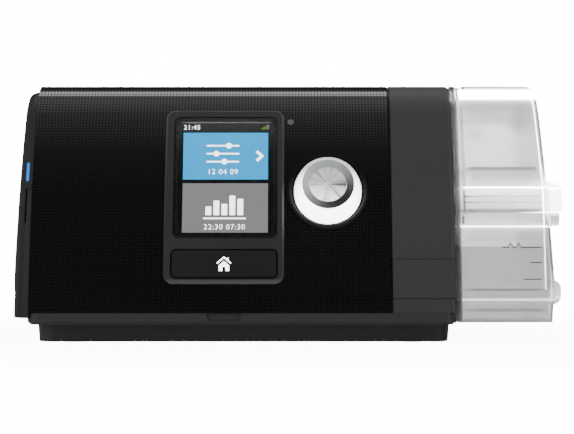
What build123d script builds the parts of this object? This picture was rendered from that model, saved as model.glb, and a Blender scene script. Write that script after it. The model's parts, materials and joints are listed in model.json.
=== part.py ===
from build123d import *
import os
from math import asin, cos, degrees, radians, sin, sqrt

# Bedside breathing-therapy machine with a docked water tub.
# Millimetres. +X is to the right, the front faces -Y and +Z is up. The origin is on the table,
# under the middle of the machine.

# Case section, seen from the side
FRONT_RADIUS = 250.0
FRONT_Y = 172.6          # centre of the front arc
FRONT_Z = -20.5
CROWN_RADIUS = 27.0
TOP_Z = 118.0
TOP_SLOPE = 4.0          # the top falls towards the rear
REAR_Y = 57.0
REAR_RADIUS = 12.0
WALL = 2.2

# Stations along the machine
CAP_X = -125.0
COVER_X = -116.8
LIP_X = -117.6
BAND_X = 45.2
DOCK_X = 73.5
BAY_X = 34.0
COVER_BACK_Y = 14.0
BAND_BACK_Y = 43.0

# Heights
LIP_TOP = 14.1
FLOOR_Z = 8.8
FLOOR_TOP = 11.0
BAY_FLOOR = 9.6
BOARD_Z = 14.4
BOARD_THICK = 1.6
BOARD_TOP = BOARD_Z + BOARD_THICK

# Plinth under the case
PLINTH_X = (-114.65, 71.75)
PLINTH_Y = (-63.0, 50.0)
PLINTH_WALL = 3.4
PLINTH_ROUND = 8.0
PLINTH_LIFT = 0.6        # it stands clear of the table on its feet
PLINTH_TAPER = 4.5
FOOT_X = (-98.0, 55.0)
FOOT_Y = (-48.0, 34.0)
FOOT_RADIUS = 7.0
FOOT_HEIGHT = 1.2
SCREW_X = (-80.0, 30.0)

# Left end cap
CAP_FLOOR = 11.7
CAP_LEAN = 1.3
CAP_LEAN_Z = 35.0
CAP_STEP = (0.8, 2.9, 0.6)       # front, top and rear step down from the case
CAP_ROLL = (15.0, 1.6, 9.0)      # front, top and rear depth of its rounded rim
CAP_WALL = 2.4
CAP_FOOT = (1.1, 22.5, 31.0)     # how far its foot is set in, up to where, and where the side is full again

# Behind the left end cap
CARD_Y = (-42.0, -12.0)
CARD_Z = (52.5, 68.5)
CARD_PIN_X = -123.4
ADAPTER_Y = (-2.0, 34.0)
ADAPTER_Z = (30.0, 78.0)
FLAP_IN = -121.9                 # how deep the two side doors reach
LIGHT_X = (-120.0, -118.5)
LIGHT_Z = (72.9, 81.4)
LEDGE_X = (-122.6, -117.5)
LEDGE_Z = (69.6, 71.3)
SLIT_X = (-119.8, -119.0)
SLIT_Z = (54.0, 69.4)

# Water tub
COLLAR = (74.2, 76.3)
NECK_X = 37.0
NECK_GAP = 5.2
NECK_REAR = 13.0
TUB_X = 117.7
TUB_ROUND = 3.0
TUB_BEND_Z = 28.0                # the end leans in above this height, and below it
TUB_LEAN = 2.7
TUB_FOOT_LEAN = 4.1
TUB_FLOOR = 9.9
TUB_WALL = 1.8
RIM_Z = 58.8
RIM_GAP = 0.3
LID_BAND_Z = 70.0
LID_X = 77.6
HINGE_X = 78.6
HINGE_Y = 4.0
SPIGOT_TOP = 107.0               # the lid's edge swings down over it
BARREL_RADIUS = 1.9
PIN_RADIUS = 0.9
TUB_KNUCKLES = ((-20.0, -12.0), (-4.0, 4.0), (12.0, 20.0))
LID_KNUCKLES = ((-11.6, -4.4), (4.4, 11.6))
PLATE_X = (40.0, 65.0)
PLATE_Y = (-52.0, 36.0)
RUNNING = 0.05

# Front panel
PANEL_Z = 66.1
BEZEL_X = (-57.0, -3.1)
BEZEL_Z = (26.8, 105.4)
BEZEL_RISE = 1.2
LABEL_Z = (20.2, 38.1)
LENS_X = (-52.6, -6.6)
LENS_Z = (47.8, 102.0)
LCD_X = (-50.4, -8.8)
LCD_Z = (49.6, 100.2)
HOME_X = (-53.5, -6.3)
HOME_Z = (29.5, 41.8)
HOME_GAP = 0.25
HOME_V = (-32.5, -28.5)          # the key's stem, up the panel
KEY_STEM_X = (-33.0, -27.0)
BOARD_DEPTH = 13.0
BOARD_SCREWS = ((-61.0, 34.0), (-61.0, -34.0), (31.0, 34.0), (31.0, -34.0))
DIAL_X = 16.6
DIAL_Z = 68.6
DISH_RADIUS = 18.4
KNOB_RADIUS = 15.2
KNOB_BASE = -2.4
RING_RADIUS = 11.6
DISC_RADIUS = 8.2
KNOB_HEIGHT = 8.0
KNOB_SEAT = KNOB_HEIGHT - 1.4
SHAFT_RADIUS = 3.0
SENSOR_X = -0.15
SENSOR_Z = 100.2
SENSOR_RADIUS = 1.5

# Start button, in the top
START_X = (-53.2, -6.8)
START_Y = (-21.0, -8.0)
START_GAP = 0.3
START_DEPTH = 0.7

# Blower
BLOWER = (-60.0, 2.0)
BLOWER_Z = (19.0, 51.0)
BLOWER_WALL = 2.0
SCROLL_RADIUS = 32.0
SCROLL_GROWTH = 9.0
EYE_RADIUS = 11.0
IMPELLER_RADIUS = 28.0
BLADES = 9
BLADE_HEIGHT = 15.0
ROTOR_SHAFT = 2.5
MOTOR_RADIUS = 17.0
MOUNT_CIRCLE = 25.0
DUCT_Y = (16.0, 34.0)
INLET = (20.0, 80.0)             # y and z of the air's way into the tub
INLET_RADIUS = 7.2

# Dock
HEATER_X = (39.0, 66.0)
HEATER_Y = (-54.0, 38.0)

# Rear
OUTLET = (58.0, 88.0)
OUTLET_RADIUS = 11.0
OUTLET_BORE = 9.0
OUTLET_COLLAR = 11.6             # the thicker stretch where it passes the back wall
OUTLET_START = 46.6
OUTLET_Y = 50.0                  # the face of the well that its flange sits behind
OUTLET_TIP = 75.0
FILTER_X = (-85.0, -45.0)
FILTER_Z = (25.0, 85.0)
FILTER_HINGE = (FILTER_X[0] + 0.8, REAR_Y - 0.8)
SOCKET_X = -10.0
SOCKET_HALF = 9.0
SOCKET_TOP = 28.6
CLIP_Z = 33.0
CLIP_Y = REAR_Y + 1.4
CLIP_EAR = (10.6, 13.2)          # inner and outer face of an ear, from the socket's middle


# ---------------------------------------------------------------- basic forms

def block(x, y, z):
    """A block between (low, high) pairs."""
    size = [high - low for low, high in (x, y, z)]
    middle = [(low + high) / 2 for low, high in (x, y, z)]
    return Pos(*middle) * Box(*size)


def soft_block(x, y, z, radius, axis=Axis.Z):
    """A block whose edges along one axis are rounded."""
    solid = block(x, y, z)
    return fillet(solid.edges().filter_by(axis), radius)


def rod(start, direction, radius, length):
    """A round bar from a point along a direction."""
    return extrude(Plane(origin=start, z_dir=direction) * Circle(radius), amount=length)


def pipe(start, direction, outer, inner, length):
    """A round tube from a point along a direction."""
    ring = Circle(outer) - Circle(inner)
    return extrude(Plane(origin=start, z_dir=direction) * ring, amount=length)


def turned(points, plane):
    """A body of revolution about the plane's normal, from a profile of (radius, height)."""
    profile = Plane.XZ * make_face(Polyline(*points, close=True))
    return plane.location * revolve(profile, Axis.Z)


# ---------------------------------------------------------------- the case section

def front_y(z, inset=0.0):
    """Where the leaning front is, at a height."""
    return FRONT_Y - sqrt((FRONT_RADIUS - inset) ** 2 - (z - FRONT_Z) ** 2)


def front_tilt(z):
    """How far the front leans back at a height, in degrees."""
    return degrees(asin((z - FRONT_Z) / FRONT_RADIUS))


def crown_centre():
    """The centre of the crown arc, which is tangent to the front arc inside it."""
    z = TOP_Z - CROWN_RADIUS
    y = FRONT_Y - sqrt((FRONT_RADIUS - CROWN_RADIUS) ** 2 - (z - FRONT_Z) ** 2)
    return y, z


def case_outline(front=0.0, top=0.0, rear=0.0, floor=LIP_TOP):
    """The case section as a face in (y, z), pushed in at the front, top and rear."""
    fall = (cos(radians(TOP_SLOPE)), -sin(radians(TOP_SLOPE)))
    up = (-fall[1], fall[0])
    start_y, start_z = crown_centre()
    crown_r = CROWN_RADIUS - top
    reach = FRONT_RADIUS - front - crown_r
    off = (start_y - FRONT_Y, start_z - FRONT_Z)
    along = off[0] * fall[0] + off[1] * fall[1]
    slide = -along - sqrt(along ** 2 - off[0] ** 2 - off[1] ** 2 + reach ** 2)
    crown = (start_y + slide * fall[0], start_z + slide * fall[1])
    out = ((crown[0] - FRONT_Y) / reach, (crown[1] - FRONT_Z) / reach)
    middle = Vector(out[0] + up[0], out[1] + up[1]).normalized()
    front_high = (crown[0] + crown_r * out[0], crown[1] + crown_r * out[1])
    front_low = (front_y(floor, front), floor)
    half_z = (front_high[1] + floor) / 2
    front_half = (front_y(half_z, front), half_z)
    crown_half = (crown[0] + crown_r * middle.X, crown[1] + crown_r * middle.Y)
    crown_end = (crown[0] + crown_r * up[0], crown[1] + crown_r * up[1])
    rear_r = max(REAR_RADIUS - rear, 2.0)
    corner_y = REAR_Y - rear - rear_r
    corner_z = start_z + (crown_r - rear_r - (corner_y - start_y) * up[0]) / up[1]
    bend = Vector(up[0] + 1, up[1]).normalized()
    rear_start = (corner_y + rear_r * up[0], corner_z + rear_r * up[1])
    rear_half = (corner_y + rear_r * bend.X, corner_z + rear_r * bend.Y)
    rear_end = (corner_y + rear_r, corner_z)
    rear_low = (corner_y + rear_r, floor)
    edges = [
        ThreePointArc(front_low, front_half, front_high),
        ThreePointArc(front_high, crown_half, crown_end),
        Line(crown_end, rear_start),
        ThreePointArc(rear_start, rear_half, rear_end),
        Line(rear_end, rear_low),
        Line(rear_low, front_low),
    ]
    return make_face(edges)


def case_block(x, inset=0.0, floor=LIP_TOP, rear=None):
    """The case section carried from one station to another."""
    back = inset if rear is None else rear
    outline = case_outline(inset, inset, back, floor)
    return extrude(Plane.YZ.offset(x[0]) * outline, amount=x[1] - x[0])


def case_skin(x, outer=0.0, inner=WALL, floor=LIP_TOP):
    """The wall between two insets of the case, open below."""
    return case_block(x, outer, floor) - case_block(x, inner, floor - 6)


def rounded_end(x, side, width, step, roll, lean, lean_z, floor, rings=6):
    """An end whose rim rolls over in quarter ellipses, and whose flat face leans inwards."""
    sections = []
    for number in range(rings):
        angle = radians(90 * number / (rings - 1))
        out = width * sin(angle)
        front, top, rear = (s + r * (1 - cos(angle)) for s, r in zip(step, roll))
        tilt = radians(lean[0] + (lean[1] - lean[0]) * sin(angle))
        normal = (cos(tilt), 0, side * sin(tilt))
        plane = Plane(origin=(x + side * out, 0, lean_z), x_dir=(0, 1, 0), z_dir=normal)
        sections.append(plane * Pos(0, -lean_z) * case_outline(front, top, rear, floor))
    return loft(sections, ruled=True)


# ---------------------------------------------------------------- the front panel's own plane

def normal_plane(x, z):
    """A plane on the front, facing out, with its own x along +X."""
    tilt = radians(front_tilt(z))
    return Plane(origin=(x, front_y(z), z), x_dir=(1, 0, 0), z_dir=(0, -cos(tilt), sin(tilt)))


PANEL = normal_plane(0, PANEL_Z)
DIAL = normal_plane(DIAL_X, DIAL_Z)


def panel_v(z):
    """How far up the panel plane a point of the front at a height falls."""
    tilt = radians(front_tilt(PANEL_Z))
    return (z - PANEL_Z) * cos(tilt) + (front_y(z) - front_y(PANEL_Z)) * sin(tilt)


def panel_prism(x, z, radius, grow=0.0, near=12.0, far=-12.0):
    """A rounded rectangle of the front, carried square to the panel between two depths."""
    low, high = panel_v(z[0]), panel_v(z[1])
    shape = RectangleRounded(x[1] - x[0] + 2 * grow, high - low + 2 * grow, radius + grow)
    place = PANEL.offset(far) * Pos((x[0] + x[1]) / 2, (low + high) / 2)
    return extrude(place * shape, amount=near - far)


def panel_block(x, v, w):
    """A block in the panel's own axes."""
    return PANEL.location * block(x, v, w)


def on_front(prism, outer, inner):
    """The part of a prism that lies between two insets of the front."""
    x = (-75, 60)
    return (prism & case_block(x, outer)) - case_block(x, inner, 0)


# ---------------------------------------------------------------- covers

def bezel_window(grow=0.0):
    """The hole that the screen's frame drops into."""
    x = (BEZEL_X[0] + 1.8, BEZEL_X[1] - 1.8)
    z = (BEZEL_Z[0] + 1.8, BEZEL_Z[1] - 1.8)
    return panel_prism(x, z, 3.0, grow)


def start_recess():
    """The shallow dip around the start button, with sloped ends."""
    low, high = START_X[0] - 0.7, START_X[1] + 0.7
    slope = 2.4
    dip = Polyline((low, 0), (high, 0), (high + slope * 2, 6), (low - slope * 2, 6), close=True)
    prism = extrude(Plane.XZ.offset(-START_Y[1] - 1.5) * make_face(dip), amount=16.0)
    return Pos(0, 0, TOP_Z - 2.6) * prism


def make_front_cover():
    """The glossy wrap: front and half the top, in one moulding."""
    x = (COVER_X, BAND_X - 0.1)
    cover = case_skin(x) & block(x, (-80, COVER_BACK_Y - 0.1), (LIP_TOP, 125))
    right = cover.edges().filter_by_position(Axis.X, BAND_X - 0.2, BAND_X)
    cover = chamfer([e for e in right if on_outer_skin(e)], 0.6)
    cover -= bezel_window()
    cover -= DIAL.location * Pos(0, 0, -6) * extrude(Circle(DISH_RADIUS - 1.2), amount=12)
    cover -= sensor_hole(SENSOR_RADIUS)
    cover -= start_recess() - case_block((-70, 10), 1.3)
    cover -= start_slot(START_GAP)
    inside = case_block((-70, 40), WALL - 0.4)
    for x0, v in BOARD_SCREWS:
        cover += PANEL.location * Pos(x0, v, -BOARD_DEPTH) * extrude(Circle(2.4), amount=14) & inside
    for x0 in (START_X[0] - 5.3, START_X[1] + 5.3):
        cover += rod((x0, -15.0, 108.0), (0, 0, 1), 2.0, 10) & inside
    return cover


def on_outer_skin(edge):
    """Whether an edge lies on the outside of the case."""
    point = edge @ 0.5
    return not is_inside_section(point.Y, point.Z, 0.5)


def is_inside_section(y, z, inset):
    """Whether a point is inside the case section, pushed in by an inset."""
    start_y, start_z = crown_centre()
    if z > start_z and y > start_y - 25:
        up = radians(TOP_SLOPE)
        height = (y - start_y) * sin(up) + (z - start_z) * cos(up)
        if y < start_y:
            height = sqrt((y - start_y) ** 2 + (z - start_z) ** 2)
        return height < CROWN_RADIUS - inset
    return (y - FRONT_Y) ** 2 + (z - FRONT_Z) ** 2 < (FRONT_RADIUS - inset) ** 2


def sensor_hole(radius):
    """The bore for the light sensor's window."""
    return normal_plane(SENSOR_X, SENSOR_Z).location * Pos(0, 0, -6) * extrude(Circle(radius), amount=9)


def start_slot(gap):
    """The start button's outline, carried through the top."""
    x = (START_X[0] - gap, START_X[1] + gap)
    y = (START_Y[0] - gap, START_Y[1] + gap)
    return soft_block(x, y, (100, 125), 2.0 + gap)


def make_dock_cover():
    """The matte band over the dock, recessed for its label plate."""
    x = (BAND_X, DOCK_X)
    cover = case_skin(x) & block(x, (-80, BAND_BACK_Y), (LIP_TOP, 125))
    left = [e for e in cover.edges().filter_by_position(Axis.X, x[0] - 0.1, x[0] + 0.1) if on_outer_skin(e)]
    cover = chamfer(left, 0.6)
    right = [e for e in cover.edges().filter_by_position(Axis.X, x[1] - 0.1, x[1] + 0.1) if on_outer_skin(e)]
    cover = fillet([e for e in right if e.length > 5], 1.6)
    place = block((x[0] - 1, x[1] + 1), (-80, 0), LABEL_Z)
    return cover - (place - case_block((x[0] - 2, x[1] + 2), 1.2, 0))


def make_label_plate():
    """The bare plate low on the band, with a hairline seam above and below."""
    x = (BAND_X + 0.1, DOCK_X - 0.1)
    z = (LABEL_Z[0] + 0.15, LABEL_Z[1] - 0.15)
    plate = case_skin(x, 0.0, 1.2) & block(x, (-80, 0), z)
    outer = [e for e in plate.edges() if on_outer_skin(e)]
    return chamfer(outer, 0.25)


def make_rear_case():
    """The rear half of the top and the whole back wall."""
    case = case_skin((COVER_X, DOCK_X))
    case -= block((COVER_X - 1, BAND_X), (-80, COVER_BACK_Y), (0, 125))
    case -= block((BAND_X, DOCK_X + 1), (-80, BAND_BACK_Y), (0, 125))
    case += filter_pocket()
    case -= block((FILTER_X[0] + 1, FILTER_X[1] - 1), (47, 60), (FILTER_Z[0] + 1, FILTER_Z[1] - 1))
    case -= filter_opening(0.5)
    for row in range(4):
        z = 36.0 + row * 12.0
        case -= block((-79, -51), (40, 50), (z, z + 6.0))
    case -= filter_pin(RUNNING)
    case += rod((OUTLET[0], OUTLET_Y, OUTLET[1]), (0, 1, 0), 16.0, REAR_Y - OUTLET_Y - 0.5)
    case -= rod((OUTLET[0], OUTLET_Y + 2, OUTLET[1]), (0, 1, 0), 14.2, 10)
    case -= rod((OUTLET[0], OUTLET_Y - 1, OUTLET[1]), (0, 1, 0), OUTLET_COLLAR, 5)
    case -= socket_window()
    return case - clip_seats()


def filter_pocket():
    """The walls of the well that the filter sits in."""
    x = (FILTER_X[0] - 1, FILTER_X[1] + 1)
    return block(x, (45.2, REAR_Y - 0.5), (FILTER_Z[0] - 1, FILTER_Z[1] + 1))


def filter_opening(gap):
    """The filter door's outline in the back wall."""
    x = (FILTER_X[0] - gap, FILTER_X[1] + gap)
    z = (FILTER_Z[0] - gap, FILTER_Z[1] + gap)
    return soft_block(x, (REAR_Y - 2.4, REAR_Y + 1), z, 0.8, Axis.Y)


def filter_pin(gap):
    """The filter door's upright pivot."""
    x, y = FILTER_HINGE
    low = FILTER_Z[0] - 1.5 - gap * 4
    return rod((x, y, low), (0, 0, 1), 0.7 + gap, FILTER_Z[1] + 1.5 + gap * 4 - low)


def make_filter_cover():
    """The louvred door over the air filter, on an upright pivot."""
    door = soft_block(FILTER_X, (REAR_Y - 2.0, REAR_Y), FILTER_Z, 2.0, Axis.Y)
    for row in range(7):
        z = 33.0 + row * 7.0
        door -= block((-79, -50), (REAR_Y - 4, REAR_Y + 2), (z, z + 3.0))
    tab = soft_block((-49.0, FILTER_X[1] - 0.4), (REAR_Y - 0.2, REAR_Y + 1.2), (49, 61), 0.6, Axis.X)
    return door + tab + filter_pin(0)


def make_air_filter():
    """The pleated filter pad behind the door: a zigzag section carried upwards."""
    width = FILTER_X[1] - FILTER_X[0] - 5.0
    folds = 12
    pitch = width / folds
    near, far, thick = 52.4, 48.6, 1.0
    front = [(FILTER_X[0] + 2.5 + pitch * i / 2, near if i % 2 else far) for i in range(2 * folds + 1)]
    back = [(x, y + thick) for x, y in reversed(front)]
    pleats = make_face(Polyline(*front, *back, close=True))
    return extrude(Plane.XY.offset(FILTER_Z[0] + 3) * pleats, amount=FILTER_Z[1] - FILTER_Z[0] - 6)


def make_filter_frame():
    """The frame that holds the pad in its well."""
    x = (FILTER_X[0] + 1.0, FILTER_X[1] - 1.0)
    z = (FILTER_Z[0] + 1.0, FILTER_Z[1] - 1.0)
    frame = block(x, (47.0, 54.2), z)
    inner = block((x[0] + 1.4, x[1] - 1.4), (46, 56), (z[0] + 1.9, z[1] - 1.9))
    return frame - inner


def make_left_end_cap():
    """The leaning end cap, rolled over at its front, top and rear."""
    cap = cap_solid()
    step = [s + CAP_WALL for s in CAP_STEP]
    width = COVER_X - CAP_X - CAP_WALL
    cap -= rounded_end(COVER_X, -1, width, step, CAP_ROLL, (0, CAP_LEAN), CAP_LEAN_Z, CAP_FLOOR + 2, 3)
    cap += block((-122.6, -99.0), (-50, -11), (56.2, 57.8))
    for y in (-52.0, 0.0, 42.0):
        cap += rod((-123.0, y, 24.0), (1, 0, 0), 2.2, 6.2)
    cap -= card_recess()
    cap -= card_opening(0.45)
    cap -= card_pin(RUNNING)
    cap -= adapter_opening(0.3)
    cap += adapter_well(1.5, -117.0) & cap_solid(0.6)
    cap -= adapter_well(0.3, -118.4)
    cap -= light_pill()
    cap -= soft_block(SLIT_X, (-80, -50), SLIT_Z, 0.35, Axis.Y) & cap_shell(0.9)
    return cap + (soft_block(LEDGE_X, (-80, -45), LEDGE_Z, 0.5, Axis.Y) & cap_shell(1.5, -0.35))


def cap_solid(inset=0.0):
    """The end cap's outer form, pushed in all round, with its foot set in a little."""
    step = [s + inset for s in CAP_STEP]
    width = COVER_X - CAP_X - inset
    solid = rounded_end(COVER_X, -1, width, step, CAP_ROLL, (0, CAP_LEAN), CAP_LEAN_Z, CAP_FLOOR)
    solid &= block((CAP_X + inset, COVER_X), (-80, REAR_Y), (0, TOP_Z))
    depth, low, high = CAP_FOOT
    face = CAP_X + inset
    inner = face + depth
    wedge = Polyline((face - 1, 0), (inner, 0), (inner, low), (face, high), (face - 1, high), close=True)
    return solid - extrude(Plane.XZ.offset(-90) * make_face(wedge), amount=180)


def cap_shell(depth, outer=0.0):
    """The outermost layer of the end cap."""
    return cap_solid(outer) - cap_solid(depth)


def flap_region(y, z, gap, radius):
    """A rounded rectangle of the left side, carried across it."""
    pair = (y[0] - gap, y[1] + gap)
    height = (z[0] - gap, z[1] + gap)
    return soft_block((-130, FLAP_IN), pair, height, radius, Axis.X)


def card_opening(gap):
    """The memory card door's outline."""
    return flap_region(CARD_Y, CARD_Z, gap, 1.2)


def card_pin(gap):
    """The card door's upright pivot, near its rear edge."""
    low = CARD_Z[0] - 1.3 - gap * 4
    high = CARD_Z[1] + 1.3 + gap * 4
    return rod((CARD_PIN_X, CARD_Y[1] - 1.3, low), (0, 0, 1), 0.6 + gap, high - low)


def card_recess():
    """The room behind the card door, as tall as the door where its tail swings in."""
    room = block((-124, -118.6), (CARD_Y[0] + 1, CARD_Y[1] - 0.2), (CARD_Z[0] + 1, CARD_Z[1] - 1))
    swing = block((-124, -120.6), (CARD_Y[1] - 3.4, CARD_Y[1] + 0.4), (CARD_Z[0] - 0.5, CARD_Z[1] + 0.5))
    return room + swing


def make_card_door():
    """The small flap over the memory card, set a little into the side."""
    door = cap_solid(0.4) & card_opening(0)
    hollow = block((-122.6, -121), (CARD_Y[0] + 1.2, CARD_Y[1] - 3), (CARD_Z[0] + 1.2, CARD_Z[1] - 1.2))
    door -= hollow
    lip = block((-124.8, -123.6), (CARD_Y[0] + 1.2, CARD_Y[0] + 3.4), (57, 64))
    return door + chamfer(lip.faces().sort_by(Axis.X)[0].edges(), 0.4) + card_pin(0)


def adapter_opening(gap):
    """The outline of the pull-off cover."""
    return flap_region(ADAPTER_Y, ADAPTER_Z, gap, 2.0)


def adapter_well(grow, bottom):
    """The shallow box behind the pull-off cover."""
    y = (ADAPTER_Y[0] - grow, ADAPTER_Y[1] + grow)
    return block((-122.4, bottom), y, (ADAPTER_Z[0] - grow, ADAPTER_Z[1] + grow))


def make_adapter_cover():
    """The pull-off cover low on the left side, with its four snap legs."""
    cover = cap_solid() & adapter_opening(0)
    for z in (36.0, 68.0):
        leg = block((FLAP_IN - 0.5, -118.8), (ADAPTER_Y[0] + 1.0, ADAPTER_Y[0] + 2.6), (z, z + 5))
        cover += leg
        cover += mirror(leg, Plane.XZ.offset(-(ADAPTER_Y[0] + ADAPTER_Y[1]) / 2))
    return cover - soft_block((-126, -123.2), (8, 24), (33, 35.0), 0.6, Axis.Y)


def light_pill():
    """The upright light, let into the front of the cap."""
    return soft_block(LIGHT_X, (-80, -40), LIGHT_Z, 0.7, Axis.Y) & cap_shell(2.6)


def make_lower_case():
    """The floor pan, whose rim shows as a lip under the covers."""
    pan = soft_block((LIP_X, DOCK_X), (-74.6, REAR_Y), (FLOOR_Z, LIP_TOP), 5.0)
    pan = chamfer(pan.faces().sort_by(Axis.Z)[0].outer_wire().edges(), 1.2)
    pan -= case_block((LIP_X + WALL, BAY_X), WALL, FLOOR_TOP)
    pan -= case_block((BAY_X, DOCK_X + 1), WALL, BAY_FLOOR)
    pan -= block((-126, COVER_X), (-80, 60), (CAP_FLOOR, 20))
    pan -= block((HEATER_X[0] - 0.3, HEATER_X[1] + 0.3), (HEATER_Y[0] - 0.3, HEATER_Y[1] + 0.3), (0, 12))
    notch = Pos(-29.8, -74.6, LIP_TOP + 0.7) * Rot(90, 0, 0) * Cylinder(8.0, 3.0)
    pan -= notch & block((-40, -20), (-76, -73.6), (10.4, 15))
    for x, y in board_posts():
        pan += block((x - 2.4, x + 2.4), (y - 2.4, y + 2.4), (FLOOR_TOP - 0.5, BOARD_Z))
    return pan


def board_posts():
    """Where the main board is carried."""
    return [(x, y) for x in (-106.0, 22.0) for y in (-58.0, 44.0)]


def make_base_plinth():
    """The set-back foot of the machine, open on top under the floor pan."""
    middle = Pos((PLINTH_X[0] + PLINTH_X[1]) / 2, (PLINTH_Y[0] + PLINTH_Y[1]) / 2)
    size = (PLINTH_X[1] - PLINTH_X[0], PLINTH_Y[1] - PLINTH_Y[0])
    outline = Plane.XY.offset(FLOOR_Z) * middle * RectangleRounded(*size, PLINTH_ROUND)
    plinth = extrude(outline, amount=PLINTH_LIFT - FLOOR_Z, taper=PLINTH_TAPER)
    room = [side - 2 * PLINTH_WALL for side in size]
    plinth -= extrude(Plane.XY.offset(3.0) * middle * RectangleRounded(*room, PLINTH_ROUND - 2), amount=8)
    for x, y in foot_places():
        plinth -= rod((x, y, 0), (0, 0, 1), FOOT_RADIUS, FOOT_HEIGHT)
    for x, y in screw_places():
        plinth += block((x - 3.6, x + 3.6), (y - 3.6, y + 3.6), (2.5, FLOOR_Z))
        plinth -= rod((x, y, 0), (0, 0, 1), 2.6, 3.2)
        plinth -= rod((x, y, 0), (0, 0, 1), 1.25, 10)
    return plinth


def foot_places():
    """The four corners of the plinth."""
    return [(x, y) for x in FOOT_X for y in FOOT_Y]


def screw_places():
    """The screws under the plinth."""
    return [(x, y) for x in SCREW_X for y in FOOT_Y]


def make_feet():
    """Four rubber pads."""
    return Compound(children=[rod((x, y, 0), (0, 0, 1), FOOT_RADIUS, FOOT_HEIGHT) for x, y in foot_places()])


def make_case_screws():
    """The hexagon socket screws that hold the plinth to the floor pan."""
    screw = extrude(Circle(2.5), amount=1.8) + extrude(Circle(1.25), amount=FLOOR_Z - 1.4)
    screw -= extrude(RegularPolygon(1.2, 6), amount=0.8)
    return Compound(children=[Pos(x, y, 1.4) * screw for x, y in screw_places()])


# ---------------------------------------------------------------- front panel

def make_screen_bezel():
    """The raised frame around the screen and the home button."""
    plate = on_front(panel_prism(BEZEL_X, BEZEL_Z, 4.5), -BEZEL_RISE, 0.0)
    outer = [e for e in plate.edges() if not is_inside_section((e @ 0.5).Y, (e @ 0.5).Z, -BEZEL_RISE / 2)]
    plate = chamfer(outer, 0.9)
    bezel = plate + on_front(bezel_window(), -0.2, WALL)
    bezel -= panel_prism(HOME_X, HOME_Z, 2.2, HOME_GAP)
    inner = panel_prism((LENS_X[0] + 1.2, LENS_X[1] - 1.2), (LENS_Z[0] + 1.2, LENS_Z[1] - 1.2), 1.5)
    bezel -= inner
    return bezel - on_front(panel_prism(LENS_X, LENS_Z, 2.4), -3.0, 0.6)


def make_screen_lens():
    """The glossy window over the screen."""
    return on_front(panel_prism(LENS_X, LENS_Z, 2.4), -BEZEL_RISE + 0.3, 0.6)


def screen_block(x, z, w):
    """A flat block behind the screen window, in the panel's axes."""
    return panel_block(x, (panel_v(z[0]), panel_v(z[1])), w)


def make_lcd_panel():
    """The display module behind the window."""
    return screen_block(LCD_X, LCD_Z, (-7.2, -4.8))


def make_lcd_frame():
    """The tray that carries the display on the control board."""
    x, z = LCD_X, LCD_Z
    tray = screen_block((x[0] - 1.6, x[1] + 1.6), (z[0] - 1.2, z[1] + 1.2), (-BOARD_DEPTH, -5.4))
    tray -= screen_block(x, z, (-7.2, 0))
    window = screen_block((x[0] + 3.4, x[1] - 3.2), (z[0] + 3.4, z[1] - 3.2), (-BOARD_DEPTH - 1, -8.6))
    return tray - window


def make_control_board():
    """The circuit board behind the front, square to the panel."""
    return panel_block((-64.5, 33.0), (-38.0, 38.0), (-BOARD_DEPTH - BOARD_THICK, -BOARD_DEPTH))


def make_home_button():
    """The wide key under the screen, with its stem and retaining flange."""
    cap = on_front(panel_prism(HOME_X, HOME_Z, 2.2), -BEZEL_RISE + 0.2, 2.4)
    cap = chamfer([e for e in cap.edges() if not is_inside_section((e @ 0.5).Y, (e @ 0.5).Z, 0)], 0.4)
    flange = on_front(panel_prism(HOME_X, HOME_Z, 0.5, 1.0), WALL + 0.05, 3.4)
    return cap + flange + panel_block(KEY_STEM_X, HOME_V, (-9.4, -3.4))


def make_home_switch():
    """The tact switch behind the home button."""
    switch = panel_block(KEY_STEM_X, (HOME_V[0] - 1, HOME_V[1] + 1), (-BOARD_DEPTH, -11.2))
    plunger = Pos(sum(KEY_STEM_X) / 2, sum(HOME_V) / 2, -11.3) * extrude(Circle(1.5), amount=0.9)
    return switch + PANEL.location * plunger


def make_dial_surround():
    """The dark dish that the knob turns in, with a thin flange that lies on the wrap."""
    skirt = DISH_RADIUS - 1.2
    bore = SHAFT_RADIUS + RUNNING
    profile = [
        (bore, -5.0), (skirt, -5.0), (skirt, -1.5), (DISH_RADIUS, -1.5), (DISH_RADIUS, 3.0),
        (DISH_RADIUS - 0.9, 3.0), (DISH_RADIUS - 0.9, 0.6), (16.2, -0.6), (16.2, -3.4), (bore, -3.4),
    ]
    dish = turned(profile, DIAL) & case_block((-10, 45), -0.45)
    outside = DIAL.location * Pos(0, 0, -4) * extrude(Circle(30) - Circle(skirt), amount=9)
    return dish - (outside & case_block((-20, 55)))


def make_dial_body():
    """The clear white knob, with flanks that draw in, open underneath around its hub."""
    rim = RING_RADIUS + 0.4
    profile = [
        (0, KNOB_SEAT), (RING_RADIUS, KNOB_SEAT), (RING_RADIUS, KNOB_HEIGHT - 0.4), (rim, KNOB_HEIGHT - 0.4),
        (14.2, 5.0), (KNOB_RADIUS, 0.6), (KNOB_RADIUS, KNOB_BASE), (13.0, KNOB_BASE), (13.0, KNOB_BASE + 3.0),
        (SHAFT_RADIUS, KNOB_BASE + 3.0), (SHAFT_RADIUS, KNOB_BASE + 1.0), (0, KNOB_BASE + 1.0),
    ]
    return turned(profile, DIAL)


def make_dial_ring():
    """The dished metal ring on the knob."""
    inner = DISC_RADIUS + 0.1
    low, high = KNOB_HEIGHT - 0.3, KNOB_HEIGHT + 0.3
    return turned([(inner, KNOB_SEAT), (RING_RADIUS, KNOB_SEAT), (RING_RADIUS, high), (inner, low)], DIAL)


def make_dial_disc():
    """The turned metal disc in the middle of the knob."""
    thick = KNOB_HEIGHT - KNOB_SEAT - 0.3
    return DIAL.location * Pos(0, 0, KNOB_SEAT) * extrude(Circle(DISC_RADIUS), amount=thick)


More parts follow.
